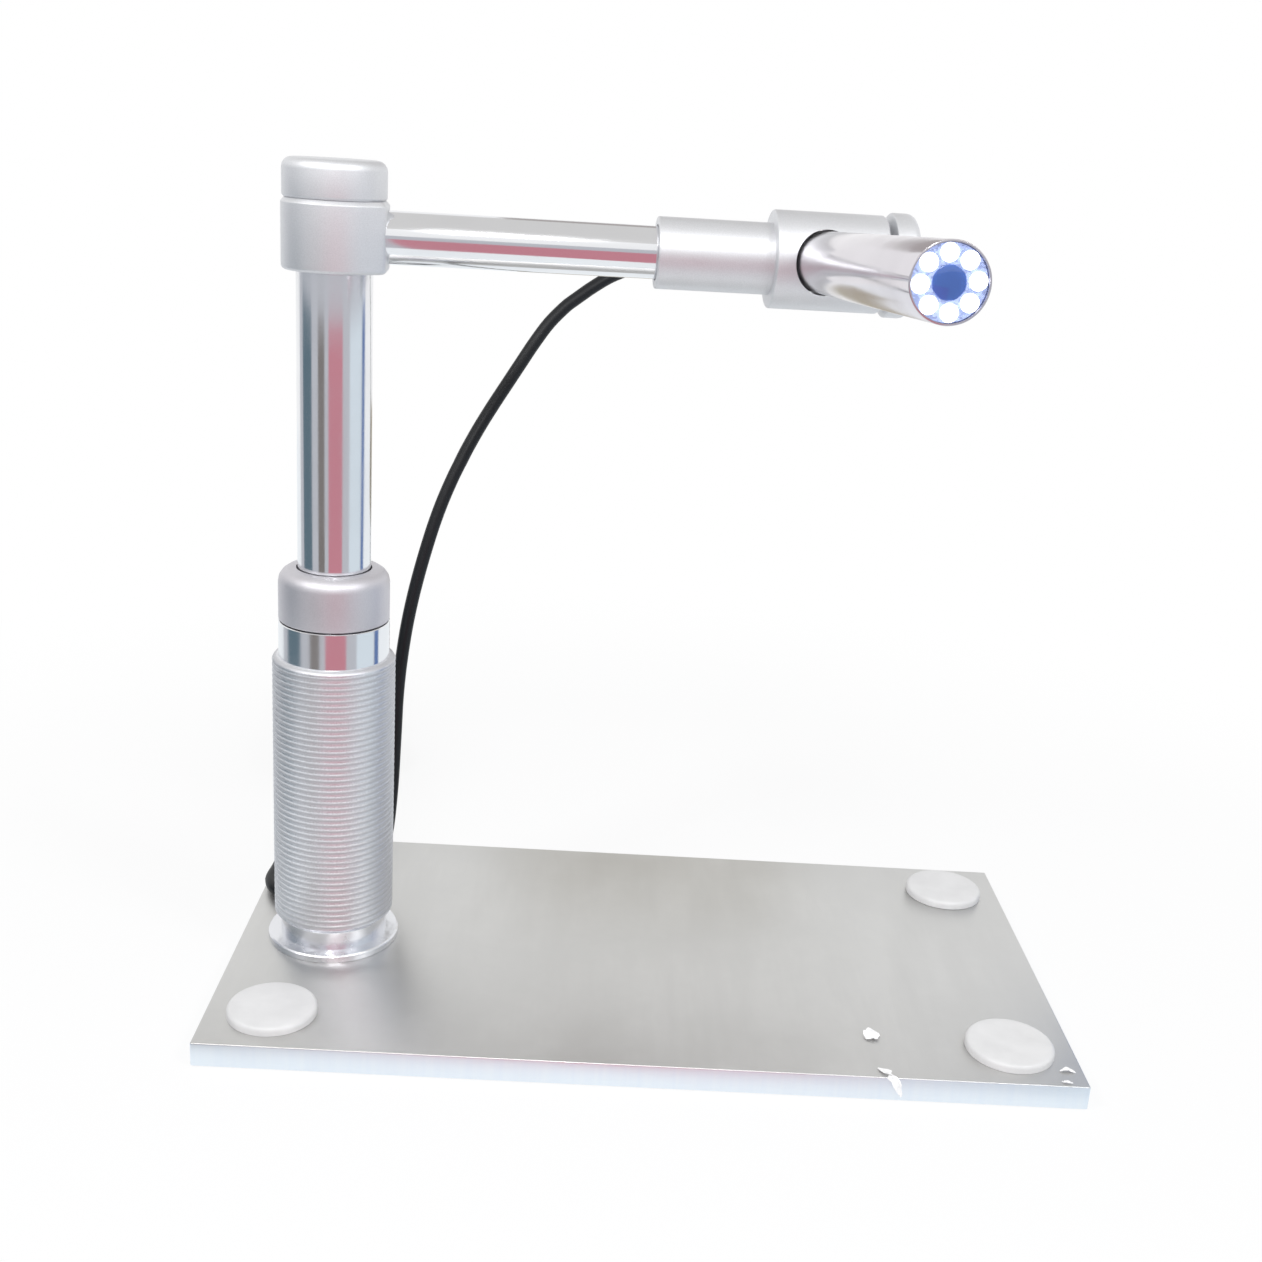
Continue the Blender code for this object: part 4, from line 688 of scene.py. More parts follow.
def build_cords():
    """The cord in five stretches: the hanging one rides on the column and the laid one on the stand, while
    the three nearer the microscope are on no body.
    """
    scope = Matrix.Scale(1 / MM, 4) @ SCOPE @ Matrix.Scale(MM, 4)
    start = scope @ Vector((0.0, 0.0, CORD_START))
    straight = scope @ Vector((0.0, 0.0, CORD_START - CORD_RADIUS * 2))
    wound = [HANK @ point for point in hank_points()]
    ahead = (wound[1] - wound[0]).normalized()
    hank_start = wound[0] - ahead * GAP
    ending = [hank_start - ahead * CORD_RADIUS * 2, hank_start]
    route = [start, straight] + [Vector(point) for point in CORD_ROUTE] + ending
    rest = smooth_route(route, CORD_SPACING)
    stretches = []
    for length in CORD_LENGTHS:
        stretch, rest = split_route(rest, length)
        stretches.append(smooth_route(stretch, CORD_RADIUS))
    tail_start = wound[-1] + (wound[-1] - wound[-2]).normalized() * GAP
    tail_ahead = (wound[-1] - wound[-2]).normalized() * CORD_RADIUS * 2
    tail = [tail_start, tail_start + tail_ahead] + [HANK @ Vector(point) for point in TAIL_ROUTE]
    lying = smooth_route(rest, CORD_RADIUS)[:-1] + wound + smooth_route(tail, CORD_RADIUS)[1:]
    near, bridge, upper, hanging = stretches
    for name, stretch, node, first, second in (
        ("cord_at_microscope", near, "cord_near", "microscope", "clamp"),
        ("cord_behind_clamp", bridge, "cord_bridge", "clamp", "head"),
        ("cord_behind_arm", upper, "cord_upper", "head", "column"),
    ):
        piece = cord_piece(name, stretch, [node])
        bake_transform(piece)
    drop = cord_piece("cord_hanging_down", hanging, ["cord_hanging"], "column")
    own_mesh(drop)
    laid = cord_piece("cord_laid", lying, ["cord_run", "cord_hank", "cord_tail"], "stand")


# Stand

PLATE_LENGTH = 180.0
PLATE_DEPTH = 95.0
PLATE_TOP = 5.2
PLATE_EDGE_BREAK = 0.3
SCREW_RECESS_RADIUS = 5.8
SCREW_RECESS_TOP = 3.3
CUTTER_BASE = -1.0
SEAT = PLATE_TOP + 0.05
PAD_RADIUS = 9.2
PAD_TOP = 7.2
PAD_CROWN_RADIUS = 6.5
PAD_CROWN_DROP = 0.02
PAD_SHOULDER_DROP = 0.15
PAD_ROUND = 0.9
PAD_ACROSS = 76.4
PAD_ALONG = 34.9


def box_mesh(name, low, high, rounding, steps=3):
    """A box in millimetres with rounded edges."""
    shape = bmesh.new()
    bmesh.ops.create_cube(shape, size=1.0)
    size = (Vector(high) - Vector(low)) * MM
    bmesh.ops.scale(shape, vec=size, verts=shape.verts)
    bmesh.ops.translate(shape, vec=(Vector(low) + Vector(high)) / 2 * MM, verts=shape.verts)
    width = rounding * MM
    edges = shape.edges[:]
    bmesh.ops.bevel(shape, geom=edges, offset=width, segments=steps, profile=0.5, affect="EDGES")
    mesh = mesh_of(name, shape)
    smooth_faces(mesh, angle=20.0)
    return mesh


def build_plate():
    """The plate, with the recess for the column's screw."""
    low = (-PLATE_LENGTH / 2, -PLATE_DEPTH / 2, 0.0)
    high = (PLATE_LENGTH / 2, PLATE_DEPTH / 2, PLATE_TOP)
    mesh = box_mesh("plate", low, high, PLATE_EDGE_BREAK)
    plate = new_piece("plate", mesh, "stand", "plate_metal", ["base_plate"])
    recess = tube_profile(0.0, SCREW_RECESS_RADIUS, CUTTER_BASE, SCREW_RECESS_TOP)
    cut(plate, lathe_mesh("recess", recess, STAND, segments=48))


def build_pads():
    """Four round pads with soft edges and a faint dome."""
    profile = [
        (0.0, PAD_TOP), (PAD_CROWN_RADIUS, PAD_TOP - PAD_CROWN_DROP),
        (PAD_RADIUS, PAD_TOP - PAD_SHOULDER_DROP, PAD_ROUND), (PAD_RADIUS, SEAT), (0.0, SEAT),
    ]
    for row, along in (("front", -PAD_ALONG), ("rear", PAD_ALONG)):
        for side, across in (("left", -PAD_ACROSS), ("right", PAD_ACROSS)):
            name = f"pad_{row}_{side}"
            axis = Matrix.Translation((across * MM, along * MM, 0.0))
            turned(name + "_soft", profile, axis, "stand", "pad_plastic", [name], segments=72)


# Film scraps: a name, a width, how far it crumples and the line that it lies along

FILM_STEPS = 9
FILM_ACROSS = 5
FILM_SPACING = 0.4
FILM_THICKNESS = 0.08
FILM_TAPER = 0.7
FILM_END_SHARE = 0.15
FILM_RAGGED = (0.85, 1.15)
FILM_LIFTED = (0.1, 0.9)
FILM_FOLD_LINE = -47.0
FILM_HANGING_SIDE = (1.0, 0.0, 0.2)
FILM_SCRAPS = (
    ("film_peak", 3.4, 0.7, ((46.6, -34.2, 5.4), (48.2, -32.6, 5.9), (49.6, -31.8, 5.4))),
    ("film_fold", 1.9, 0.4, ((47.4, -44.6, 5.4), (49.4, -46.6, 5.7), (50.6, -47.8, 4.6), (52.0, -48.0, 1.2))),
    ("film_corner", 1.1, 0.35, ((85.0, -42.4, 5.4), (86.7, -42.0, 5.7), (88.2, -42.8, 5.4))),
    ("film_corner_tip", 0.8, 0.3, ((84.4, -46.2, 5.4), (85.6, -46.5, 5.6), (86.6, -46.5, 5.4))),
)


def film_scrap(name, width, crumple, line):
    """A crumpled scrap of the clear film that the plate was wrapped in, widest in the middle, coloured opaque
    white as a painted glint.
    """
    draw = random.Random(name)
    points = even_points([Vector(point) for point in line], FILM_SPACING)
    shape = bmesh.new()
    layers = ([], [])
    for step in range(FILM_STEPS + 1):
        share = step / FILM_STEPS
        index = round(share * (len(points) - 1))
        place = points[index]
        heading = points[min(len(points) - 1, index + 1)] - points[max(0, index - 1)]
        over_edge = place.y < FILM_FOLD_LINE
        side = Vector(FILM_HANGING_SIDE) if over_edge else Vector((heading.y, -heading.x, 0.0))
        out = Vector((0.0, -1.0, 0.0)) if over_edge else Vector((0.0, 0.0, 1.0))
        half = width / 2 * max(FILM_END_SHARE, math.sin(math.pi * share) ** FILM_TAPER)
        rise = math.sin(math.pi * max(FILM_LIFTED[0], min(FILM_LIFTED[1], share)))
        rows = ([], [])
        for across in range(FILM_ACROSS):
            offset = (across / (FILM_ACROSS - 1) * 2 - 1) * half * draw.uniform(*FILM_RAGGED)
            lift = draw.uniform(0.0, crumple) * rise
            upper = place + side.normalized() * offset + out * lift
            rows[0].append(shape.verts.new(upper * MM))
            rows[1].append(shape.verts.new((upper - out * FILM_THICKNESS) * MM))
        layers[0].append(rows[0])
        layers[1].append(rows[1])
    for step in range(FILM_STEPS):
        for across in range(FILM_ACROSS - 1):
            for layer in layers:
                first, second = layer[step : step + 2]
                shape.faces.new((first[across], first[across + 1], second[across + 1], second[across]))
    for upper, lower in zip(film_rim(layers[0]), film_rim(layers[1])):
        shape.faces.new((upper[0], upper[1], lower[1], lower[0]))
    bmesh.ops.triangulate(shape, faces=shape.faces[:])
    bmesh.ops.recalc_face_normals(shape, faces=shape.faces)
    mesh = mesh_of(name, shape)
    new_piece(name, mesh, "stand", "pad_plastic", [], PAINTED_GLINT_FILM)


def film_rim(layer):
    """Pairs of neighbouring points round a layer's rim."""
    first, last = layer[0], layer[-1]
    left = [row[0] for row in layer]
    right = [row[-1] for row in layer]
    line = first + right[1:] + last[-2::-1] + left[-2:0:-1]
    return list(zip(line, line[1:] + line[:1]))


def build_film():
    """Scraps of clear film on the plate."""
    for scrap in FILM_SCRAPS:
        film_scrap(*scrap)


# Handle and lock collar

SCREW_BORE = 3.2
FOOT_RING_RADIUS = 14.45
FOOT_RING_TOP = 6.8
FOOT_RING_CHAMFER = 0.35
NECK_RADIUS = 11.64
NECK_BASE = 6.7
NECK_TOP = 10.9
NECK_FLARE = (12.9, 12.3)
HANDLE_RINGS = 46
GRIP_BASE = 12.2
GRIP_TOP = 71.0
RING_PITCH = (GRIP_TOP - GRIP_BASE) / HANDLE_RINGS
KNURLED_METAL = knurled_metal("knurled_metal", (0.78, 0.79, 0.82), 0.40, GRIP_BASE * MM, RING_PITCH * MM)
GRIP_SHOULDER = ((71.55, 12.75), (72.0, 11.9), (72.0, 11.5))
GRIP_RADIUS = 13.06
RING_DEPTH = 0.22
SERRATIONS = 130
SERRATION_DEPTH = 0.2
RING_LEVELS = ((0.0, 1.0), (0.16, 0.72), (0.5, 0.0), (0.84, 0.72))
BAND_RADIUS = 11.68
BAND_BASE = 71.6
BAND_TOP = 79.75
BAND_TOP_RADIUS = 11.5
BAND_EDGE_DROP = 0.15
SPIGOT_RADIUS = 10.2
SPIGOT_TOP = 85.0
HANDLE_BORE = 9.2
COLLAR_RADIUS = 11.64
COLLAR_BASE = 80.05
COLLAR_TOP = 91.2
COLLAR_ROUND = 3.0
COLLAR_TAPER_BASE = 85.7
COLLAR_TAPER_TOP = 89.4


def grip_levels():
    """Heights up the grip with how near each is to a ring's crest, from 0 to 1."""
    levels = []
    for ring in range(HANDLE_RINGS):
        for share, crest in RING_LEVELS:
            levels.append((GRIP_BASE + RING_PITCH * (ring + share), crest))
    return levels + [(GRIP_TOP, 1.0)]


def build_grip():
    """The knurled grip: rings cut across by fine serrations."""
    shape = bmesh.new()
    rings = []
    for height, crest in grip_levels():
        crown = GRIP_RADIUS - RING_DEPTH * (1 - crest)
        rings.append(ring_of(shape, height, [crown, crown - SERRATION_DEPTH * crest] * SERRATIONS))
    for height, radius in GRIP_SHOULDER:
        rings.append(ring_of(shape, height, [radius, radius] * SERRATIONS))
    join_rings(shape, rings)
    mesh = mesh_of("grip", shape)
    mesh.transform(STAND)
    mesh.shade_smooth()
    new_piece("grip", mesh, "stand", "satin_metal", ["handle"], KNURLED_METAL)


def build_handle():
    """The grip, and the bright neck and band below and above it."""
    build_grip()
    neck = [NECK_FLARE, (NECK_RADIUS, NECK_TOP, WIDE), (NECK_RADIUS, NECK_BASE), (SCREW_BORE, NECK_BASE)]
    turned("handle_neck", neck, STAND, "stand", "chrome", [], look=FOOT_CHROME)
    band = [
        (HANDLE_BORE, SPIGOT_TOP), (SPIGOT_RADIUS, SPIGOT_TOP, SMALL),
        (SPIGOT_RADIUS, BAND_TOP), (BAND_TOP_RADIUS, BAND_TOP),
        (BAND_RADIUS, BAND_TOP - BAND_EDGE_DROP), (BAND_RADIUS, BAND_BASE),
    ]
    turned("handle_band", band, STAND, "stand", "chrome", [])


def build_stand():
    """Everything that stands still, and the collar that turns on it."""
    build_plate()
    build_pads()
    build_film()
    ring = [
        (SCREW_BORE, FOOT_RING_TOP), (FOOT_RING_RADIUS - FOOT_RING_CHAMFER, FOOT_RING_TOP, NARROW),
        (FOOT_RING_RADIUS, FOOT_RING_TOP - FOOT_RING_CHAMFER, CRISP), (FOOT_RING_RADIUS, SEAT),
        (SCREW_BORE, SEAT),
    ]
    turned("foot_ring_bright", ring, STAND, "stand", "chrome", ["foot_ring"], look=FOOT_CHROME)
    build_handle()
    collar = [
        (COLUMN_RADIUS + GAP, COLLAR_TOP, SMALL), (COLLAR_RADIUS, COLLAR_TOP, COLLAR_ROUND),
        (COLLAR_RADIUS, COLLAR_BASE, MEDIUM), (SPIGOT_RADIUS + GAP, COLLAR_BASE),
        (SPIGOT_RADIUS + GAP, COLLAR_TAPER_BASE), (COLUMN_RADIUS + GAP, COLLAR_TAPER_TOP),
        (COLUMN_RADIUS + GAP, COLLAR_TOP),
    ]
    nodes = ["lock_collar"]
    turned("lock_collar_satin", collar, STAND, "lock_collar", "satin_metal", nodes, look=COLLAR_SATIN)


# Column and head

COLUMN_RADIUS = 7.6
COLUMN_BORE = 6.4
COLUMN_BASE = 73.3
COLUMN_TOP = 154.0
HEAD_RADIUS = 10.47
HEAD_BASE = 152.2
HEAD_SHOULDER = 165.1
HEAD_TOP_RADIUS = 9.75
HEAD_TOP = 165.95
HEAD_LOW_ROUND = 0.9
STUD_RADIUS = 3.0
CAP_RADIUS = 10.25
CAP_BASE = 166.0
CAP_BASE_RADIUS = 9.85
CAP_SIDE_BASE = 166.45
CAP_TOP = 173.5
CAP_ROUND = 2.0
SQUARED_HALF_ANGLE = math.radians(54.0)
SQUARED_BLEND = 30.0
SQUARED_FROM = 0.8


def square_up(mesh):
    """Fill out the side of the head that the arm comes from, so that the arm meets a flat face."""
    for vertex in mesh.vertices:
        radius = vertex.co.xy.length
        if radius < SQUARED_FROM * HEAD_RADIUS * MM:
            continue
        off = abs(math.atan2(vertex.co.y, vertex.co.x) - ARM_TURN)
        if off > SQUARED_HALF_ANGLE:
            continue
        side = 1 / math.cos(SQUARED_HALF_ANGLE - off)
        flat = 1 / math.cos(off)
        soft = -math.log(math.exp(-SQUARED_BLEND * side) + math.exp(-SQUARED_BLEND * flat)) / SQUARED_BLEND
        vertex.co.xy = vertex.co.xy * max(1.0, soft)


def build_column():
    """The bright sliding tube, the head on it and its cap."""
    tube = tube_profile(COLUMN_BORE, COLUMN_RADIUS, COLUMN_BASE, COLUMN_TOP, SMALL)
    turned("column_bright", tube, STAND, "column", "chrome", ["column_tube"], closed=True, segments=128)
    head = [
        (STUD_RADIUS + GAP, HEAD_TOP), (HEAD_TOP_RADIUS, HEAD_TOP, CRISP),
        (HEAD_RADIUS, HEAD_SHOULDER, MEDIUM), (HEAD_RADIUS, HEAD_BASE, HEAD_LOW_ROUND),
        (COLUMN_RADIUS + GAP, HEAD_BASE, NARROW), (COLUMN_RADIUS + GAP, COLUMN_TOP + GAP),
        (STUD_RADIUS + GAP, COLUMN_TOP + GAP),
    ]
    mesh = lathe_mesh("head", filleted(head), Matrix.Identity(4), segments=144, closed=True)
    square_up(mesh)
    mesh.transform(STAND)
    new_piece("head_satin", mesh, "head", "satin_metal", ["elbow_head"])
    cap = [
        (0.0, CAP_TOP), (CAP_RADIUS, CAP_TOP, CAP_ROUND), (CAP_RADIUS, CAP_SIDE_BASE, SMALL),
        (CAP_BASE_RADIUS, CAP_BASE, CRISP), (STUD_RADIUS + GAP, CAP_BASE),
    ]
    turned("head_cap_satin", cap, STAND, "head_cap", "satin_metal", ["head_cap"])


# Arm and clamp, along the arm from the column's axis

ARM_RADIUS = 5.23
ARM_BORE = 4.23
ARM_START = 8.7
ARM_END = 81.7
PIVOT_BORE = 1.8
SLEEVE_RADIUS = 7.11
SLEEVE_START = 63.7
SLEEVE_WEB = 82.4
SLEEVE_END = 86.9
CLAMP_RADIUS = 9.75
CLAMP_START = 86.8
CLAMP_WEB = 88.0
CLAMP_END_WALL = 107.0
CLAMP_END = 109.5
SHOE_BORE = 5.0
CLAMP_SCREW_BORE = 2.8
PIVOT_HEAD_RADIUS = 3.0
CROSS_BORE_REACH = 12.0
KNOB_RADIUS = 10.4
KNOB_START = 110.8
KNOB_HOLE_END = 113.5
KNOB_END = 115.7
KNOB_ROUND = 1.8
KNOB_EDGE_ROUND = 0.4


def build_arm():
    """The arm tube, the clamp that turns on its end and the clamp's knob."""
    tube = tube_profile(ARM_BORE, ARM_RADIUS, ARM_START, ARM_END, SMALL)
    nodes = ["arm_tube"]
    turned("arm_bright", tube, ARM, "head", "chrome", nodes, closed=True, segments=112, look=ARM_CHROME)
    sleeve = [
        (PIVOT_BORE, SLEEVE_END), (SLEEVE_RADIUS, SLEEVE_END),
        (SLEEVE_RADIUS, SLEEVE_START, MEDIUM), (ARM_RADIUS + GAP, SLEEVE_START, NARROW),
        (ARM_RADIUS + GAP, SLEEVE_WEB), (PIVOT_BORE, SLEEVE_WEB),
    ]
    turned("sleeve_satin", sleeve, ARM, "clamp", "satin_metal", ["arm_sleeve"], closed=True)
    body = [
        (CLAMP_SCREW_BORE, CLAMP_END), (CLAMP_RADIUS, CLAMP_END, WIDE),
        (CLAMP_RADIUS, CLAMP_START, WIDE), (PIVOT_BORE, CLAMP_START), (PIVOT_BORE, CLAMP_WEB),
        (PIVOT_HEAD_RADIUS + GAP, CLAMP_WEB), (PIVOT_HEAD_RADIUS + GAP, CROSS_BORE),
        (SHOE_BORE, CROSS_BORE), (SHOE_BORE, CLAMP_END_WALL), (CLAMP_SCREW_BORE, CLAMP_END_WALL),
    ]
    nodes = ["clamp_body"]
    clamp = turned("clamp_satin", body, ARM, "clamp", "satin_metal", nodes, closed=True, segments=128)
    bore = tube_profile(0.0, BARREL_RADIUS + GAP, -CROSS_BORE_REACH, CROSS_BORE_REACH)
    cut(clamp, lathe_mesh("bore", bore, SCOPE))
    knob = [
        (0.0, KNOB_END), (KNOB_RADIUS, KNOB_END, KNOB_ROUND),
        (KNOB_RADIUS, KNOB_START, KNOB_EDGE_ROUND), (CLAMP_SCREW_BORE, KNOB_START),
        (CLAMP_SCREW_BORE, KNOB_HOLE_END), (0.0, KNOB_HOLE_END),
    ]
    turned("knob_satin", knob, ARM, "clamp_knob", "satin_metal", ["clamp_knob"])


# Microscope, along the barrel from the arm's axis

BARREL_RADIUS = 6.1
BARREL_REAR = -15.0
BARREL_FRONT = 95.8
FACE_BORE = 5.75
FACE_FLOOR = 92.0
FACE_INNER_ROUND = 0.08
FACE_OUTER_ROUND = 0.16
BOARD_RADIUS = 5.65
BOARD_HOLE = 1.9
BOARD_FRONT = 95.2
WINDOW_RADIUS = 2.6
WINDOW_CROWN_RADIUS = 1.4
WINDOW_CROWN = 95.55
WINDOW_EDGE = 95.3
WINDOW_FRONT = 95.6
FACE_SEAT = 93.8
LED_COUNT = 8
LED_PHASE = math.radians(5.5)
LED_CIRCLE = 4.25
LED_RADIUS = 1.38
LED_TIP = 95.95
LED_ROUND = 0.6
FOCUS_RING_RADIUS = 6.8
FOCUS_RING_REAR = -27.0
FLUTES = 16
FLUTE_SEGMENTS = 16
FLUTE_DEPTH = 0.3
FLUTES_FROM = 6.2
SPIGOT_BORE = 4.2
SPIGOT_OUTSIDE = 4.8
SPIGOT_FRONT = 8.0
REAR_CAP_END = -33.5
REAR_CAP_ROUND = 0.8
RELIEF_START = REAR_CAP_END - GAP
REAR_WALL_FACE = -30.0
REAR_HOLE = 2.6
TANG_FRONT = -31.8
RELIEF_END = -48.8
RELIEF_ROOT_RADIUS = 3.0
RELIEF_TIP_RADIUS = 2.0
RELIEF_RIBS = 5
RELIEF_PITCH = 3.0
RELIEF_TAPER = 0.2
RIB_LENGTH = 1.65
GROOVE_DEPTH = 0.4


def build_focus_ring():
    """The fluted ring behind the barrel."""
    profile = tube_profile(SPIGOT_OUTSIDE + GAP, FOCUS_RING_RADIUS, FOCUS_RING_REAR, BARREL_REAR - GAP, WIDE)
    segments = FLUTES * FLUTE_SEGMENTS
    mesh = lathe_mesh("focus_ring", filleted(profile), Matrix.Identity(4), segments, closed=True)
    for vertex in mesh.vertices:
        across = vertex.co.xy.length
        if across < FLUTES_FROM * MM:
            continue
        angle = math.atan2(vertex.co.y, vertex.co.x)
        depth = (0.5 + 0.5 * math.cos(angle * FLUTES)) ** 2 * FLUTE_DEPTH * MM
        vertex.co.xy = vertex.co.xy * (1 - depth / across)
    mesh.transform(SCOPE)
    new_piece("focus_ring_fluted", mesh, "focus_ring", "barrel_metal", ["focus_ring"])


def build_face():
    """The lamp board, the blue window and the ring of lit lamps in the barrel's mouth."""
    board = tube_profile(BOARD_HOLE, BOARD_RADIUS, FACE_FLOOR + GAP, BOARD_FRONT)
    turned("lamp_board", board, SCOPE, "microscope", "circuit_board", ["led_board"], closed=True, segments=64)
    window = [
        (0.0, WINDOW_FRONT), (WINDOW_CROWN_RADIUS, WINDOW_CROWN),
        (WINDOW_RADIUS, WINDOW_EDGE, SMALL), (WINDOW_RADIUS, FACE_SEAT), (0.0, FACE_SEAT),
    ]
    turned("blue_window", window, SCOPE, "microscope", "blue_glass", ["front_window"], segments=48)
    lamp = [(0.0, LED_TIP), (LED_RADIUS, BARREL_FRONT, LED_ROUND), (LED_RADIUS, FACE_SEAT), (0.0, FACE_SEAT)]
    for index in range(LED_COUNT):
        angle = LED_PHASE + math.tau * index / LED_COUNT
        spot = Vector((math.cos(angle), math.sin(angle), 0.0)) * LED_CIRCLE * MM
        name = f"led_{index + 1}"
        axis = SCOPE @ Matrix.Translation(spot)
        turned(name + "_lit", lamp, axis, "microscope", "led_white", [name], segments=32)


def relief_profile():
    """The strain relief's ribs and grooves, from its tang in the rear cap to its tip."""
    profile = [
        (0.0, TANG_FRONT), (REAR_HOLE - GAP, TANG_FRONT), (REAR_HOLE - GAP, RELIEF_START),
        (RELIEF_ROOT_RADIUS, RELIEF_START, SMALL),
    ]
    for rib in range(RELIEF_RIBS):
        radius = RELIEF_ROOT_RADIUS - RELIEF_TAPER * rib
        start = RELIEF_START - RELIEF_PITCH * rib
        profile.append((radius - RELIEF_TAPER / 2, start - RIB_LENGTH, NARROW))
        if rib < RELIEF_RIBS - 1:
            profile.append((radius - GROOVE_DEPTH, start - RIB_LENGTH, NARROW))
            profile.append((radius - GROOVE_DEPTH, start - RELIEF_PITCH, NARROW))
            profile.append((radius - RELIEF_TAPER, start - RELIEF_PITCH, NARROW))
    return profile + [(RELIEF_TIP_RADIUS, RELIEF_END, SMALL), (0.0, RELIEF_END)]


def build_microscope():
    """The barrel with its face, the focus ring, the rear cap and the strain relief."""
    barrel = [
        (FACE_BORE, BARREL_FRONT, FACE_INNER_ROUND),
        (BARREL_RADIUS, BARREL_FRONT, FACE_OUTER_ROUND), (BARREL_RADIUS, BARREL_REAR, SMALL),
        (SPIGOT_OUTSIDE + GAP, BARREL_REAR), (SPIGOT_OUTSIDE + GAP, FACE_FLOOR),
        (FACE_BORE, FACE_FLOOR), (FACE_BORE, BARREL_FRONT),
    ]
    turned("barrel_polished", barrel, SCOPE, "microscope", "barrel_metal", ["barrel_tube"], segments=128)
    build_face()
    build_focus_ring()
    rear = [
        (SPIGOT_BORE, SPIGOT_FRONT), (SPIGOT_OUTSIDE, SPIGOT_FRONT),
        (SPIGOT_OUTSIDE, FOCUS_RING_REAR - GAP), (BARREL_RADIUS, FOCUS_RING_REAR - GAP, NARROW),
        (BARREL_RADIUS, REAR_CAP_END, REAR_CAP_ROUND), (REAR_HOLE, REAR_CAP_END),
        (REAR_HOLE, REAR_WALL_FACE), (SPIGOT_BORE, REAR_WALL_FACE),
    ]
    turned("rear_cap_polished", rear, SCOPE, "microscope", "barrel_metal", [], closed=True)
    relief = relief_profile()
    turned("relief_ribbed", relief, SCOPE, "microscope", "black_rubber", ["strain_relief"], segments=48)


# Studio

# Radii about the column with heights, then round cards with their sides in degrees from the front
WALL = (280.0, (-70.0, 215.0))
CARDS = (270.0, (-70.0, 148.0))
ROUND_STEPS = 24
ONE_FACE = ((0, 1, 2, 3),)
GREY_WALL = ("grey_wall", (0.55, 0.56, 0.60), (-115.0, 100.0))
ROUND_CARDS = (
    ("slate_card", (0.12, 0.18, 0.22), (-98.0, -62.0)),
    ("umber_card", (0.22, 0.20, 0.19), (-40.0, -20.0)),
    ("rose_card", (0.60, 0.25, 0.30), (-8.0, 34.0)),
    ("sky_card", (0.74, 0.82, 0.88), (56.0, 98.0)),
    ("blue_card", (0.12, 0.20, 0.42), (100.0, 112.0)),
)
BACKDROP = 230.0
OVERHEAD = 520.0
UNDER = -75.0
OVERHEAD_SIDE = 500.0
OVERHEAD_FRONT = -420.0
OVERHEAD_REAR = 430.0
UNDER_SIDE = 900.0

FLOOR_SIDE = 4000.0
FLOOR_DROP = -0.2
FLOOR_COLOUR = (0.86, 0.86, 0.87, 1.0)
FLOOR_WHITE_SHARE = 0.86
SHADOW_REACH = (100.0, 320.0)
WHITE = (1.0, 1.0, 1.0, 1.0)
WORLD_LEVEL = 0.58

LAMP_SIDE = 160.0
LAMP_POWER = 1.6
LAMP_AIM = (-10.0, 0.0, 70.0)
LAMPS = (
    ("left_lamp", (-450.0, -350.0, 650.0), (1.0, 0.99, 0.98)),
    ("front_lamp", (-40.0, -560.0, 640.0), (1.0, 1.0, 1.0)),
    ("right_lamp", (420.0, -350.0, 650.0), (0.97, 0.98, 1.0)),
)


class Surface(Nodes):
    """A material of two shaders, mixed by a share."""

    def __init__(self, name):
        self.material = bpy.data.materials.new(name)
        self.material.use_nodes = True
        super().__init__(self.material.node_tree)
        self.tree.nodes.clear()

    def mixed(self, share, first, second):
        """The material, which is all its first shader where the share is 0."""
        mix = self.node("MixShader")
        for target, output in zip(mix.inputs, (share, first.outputs[0], second.outputs[0])):
            self.link(output, target)
        self.link(mix.outputs[0], self.node("OutputMaterial").inputs["Surface"])
        return self.material


def glowing_material(name, colour):
    """A material that gives off one colour from the front of its faces only."""
    surface = Surface(name)
    glow = surface.node("Emission", color=(*colour, 1.0))
    back = surface.node("NewGeometry").outputs["Backfacing"]
    return surface.mixed(back, glow, surface.node("BsdfTransparent"))


def sheet(name, material, points, faces=ONE_FACE):
    """A thin sheet through points in millimetres, for the floor or a card."""
    mesh = bpy.data.meshes.new(name)
    mesh.from_pydata([Vector(point) * MM for point in points], [], faces)
    mesh.materials.append(material)
    return placed(name, mesh)


def place_card(name, colour, points, faces=ONE_FACE):
    """A studio card of one colour that only shows in gloss."""
    card = sheet(name, glowing_material(name, colour), points, faces)
    card.visible_camera = False
    card.visible_diffuse = False
    card.visible_transmission = False
    card.visible_shadow = False


def round_card(name, colour, sides, place):
    """A card bent round the column between two directions, in degrees from the front."""
    radius, levels = place
    points = []
    for step in range(ROUND_STEPS + 1):
        angle = math.radians(sides[0] + (sides[1] - sides[0]) * step / ROUND_STEPS)
        for level in levels:
            points.append((COLUMN_PLACE + radius * math.sin(angle), -radius * math.cos(angle), level))
    faces = [(step * 2 + 1, step * 2 + 3, step * 2 + 2, step * 2) for step in range(ROUND_STEPS)]
    place_card(name, colour, points, faces)


def level_corners(first, last, height):
    """A level rectangle's corners. It faces up when the last is to the rear right of the first."""
    return [(*corner, height) for corner in (first, (last[0], first[1]), last, (first[0], last[1]))]


def upright_card(name, colour, left, right, base, top):
    """An upright card behind the object that faces the front."""
    corners = ((left, base), (right, base), (right, top), (left, top))
    place_card(name, colour, [(across, BACKDROP, height) for across, height in corners])


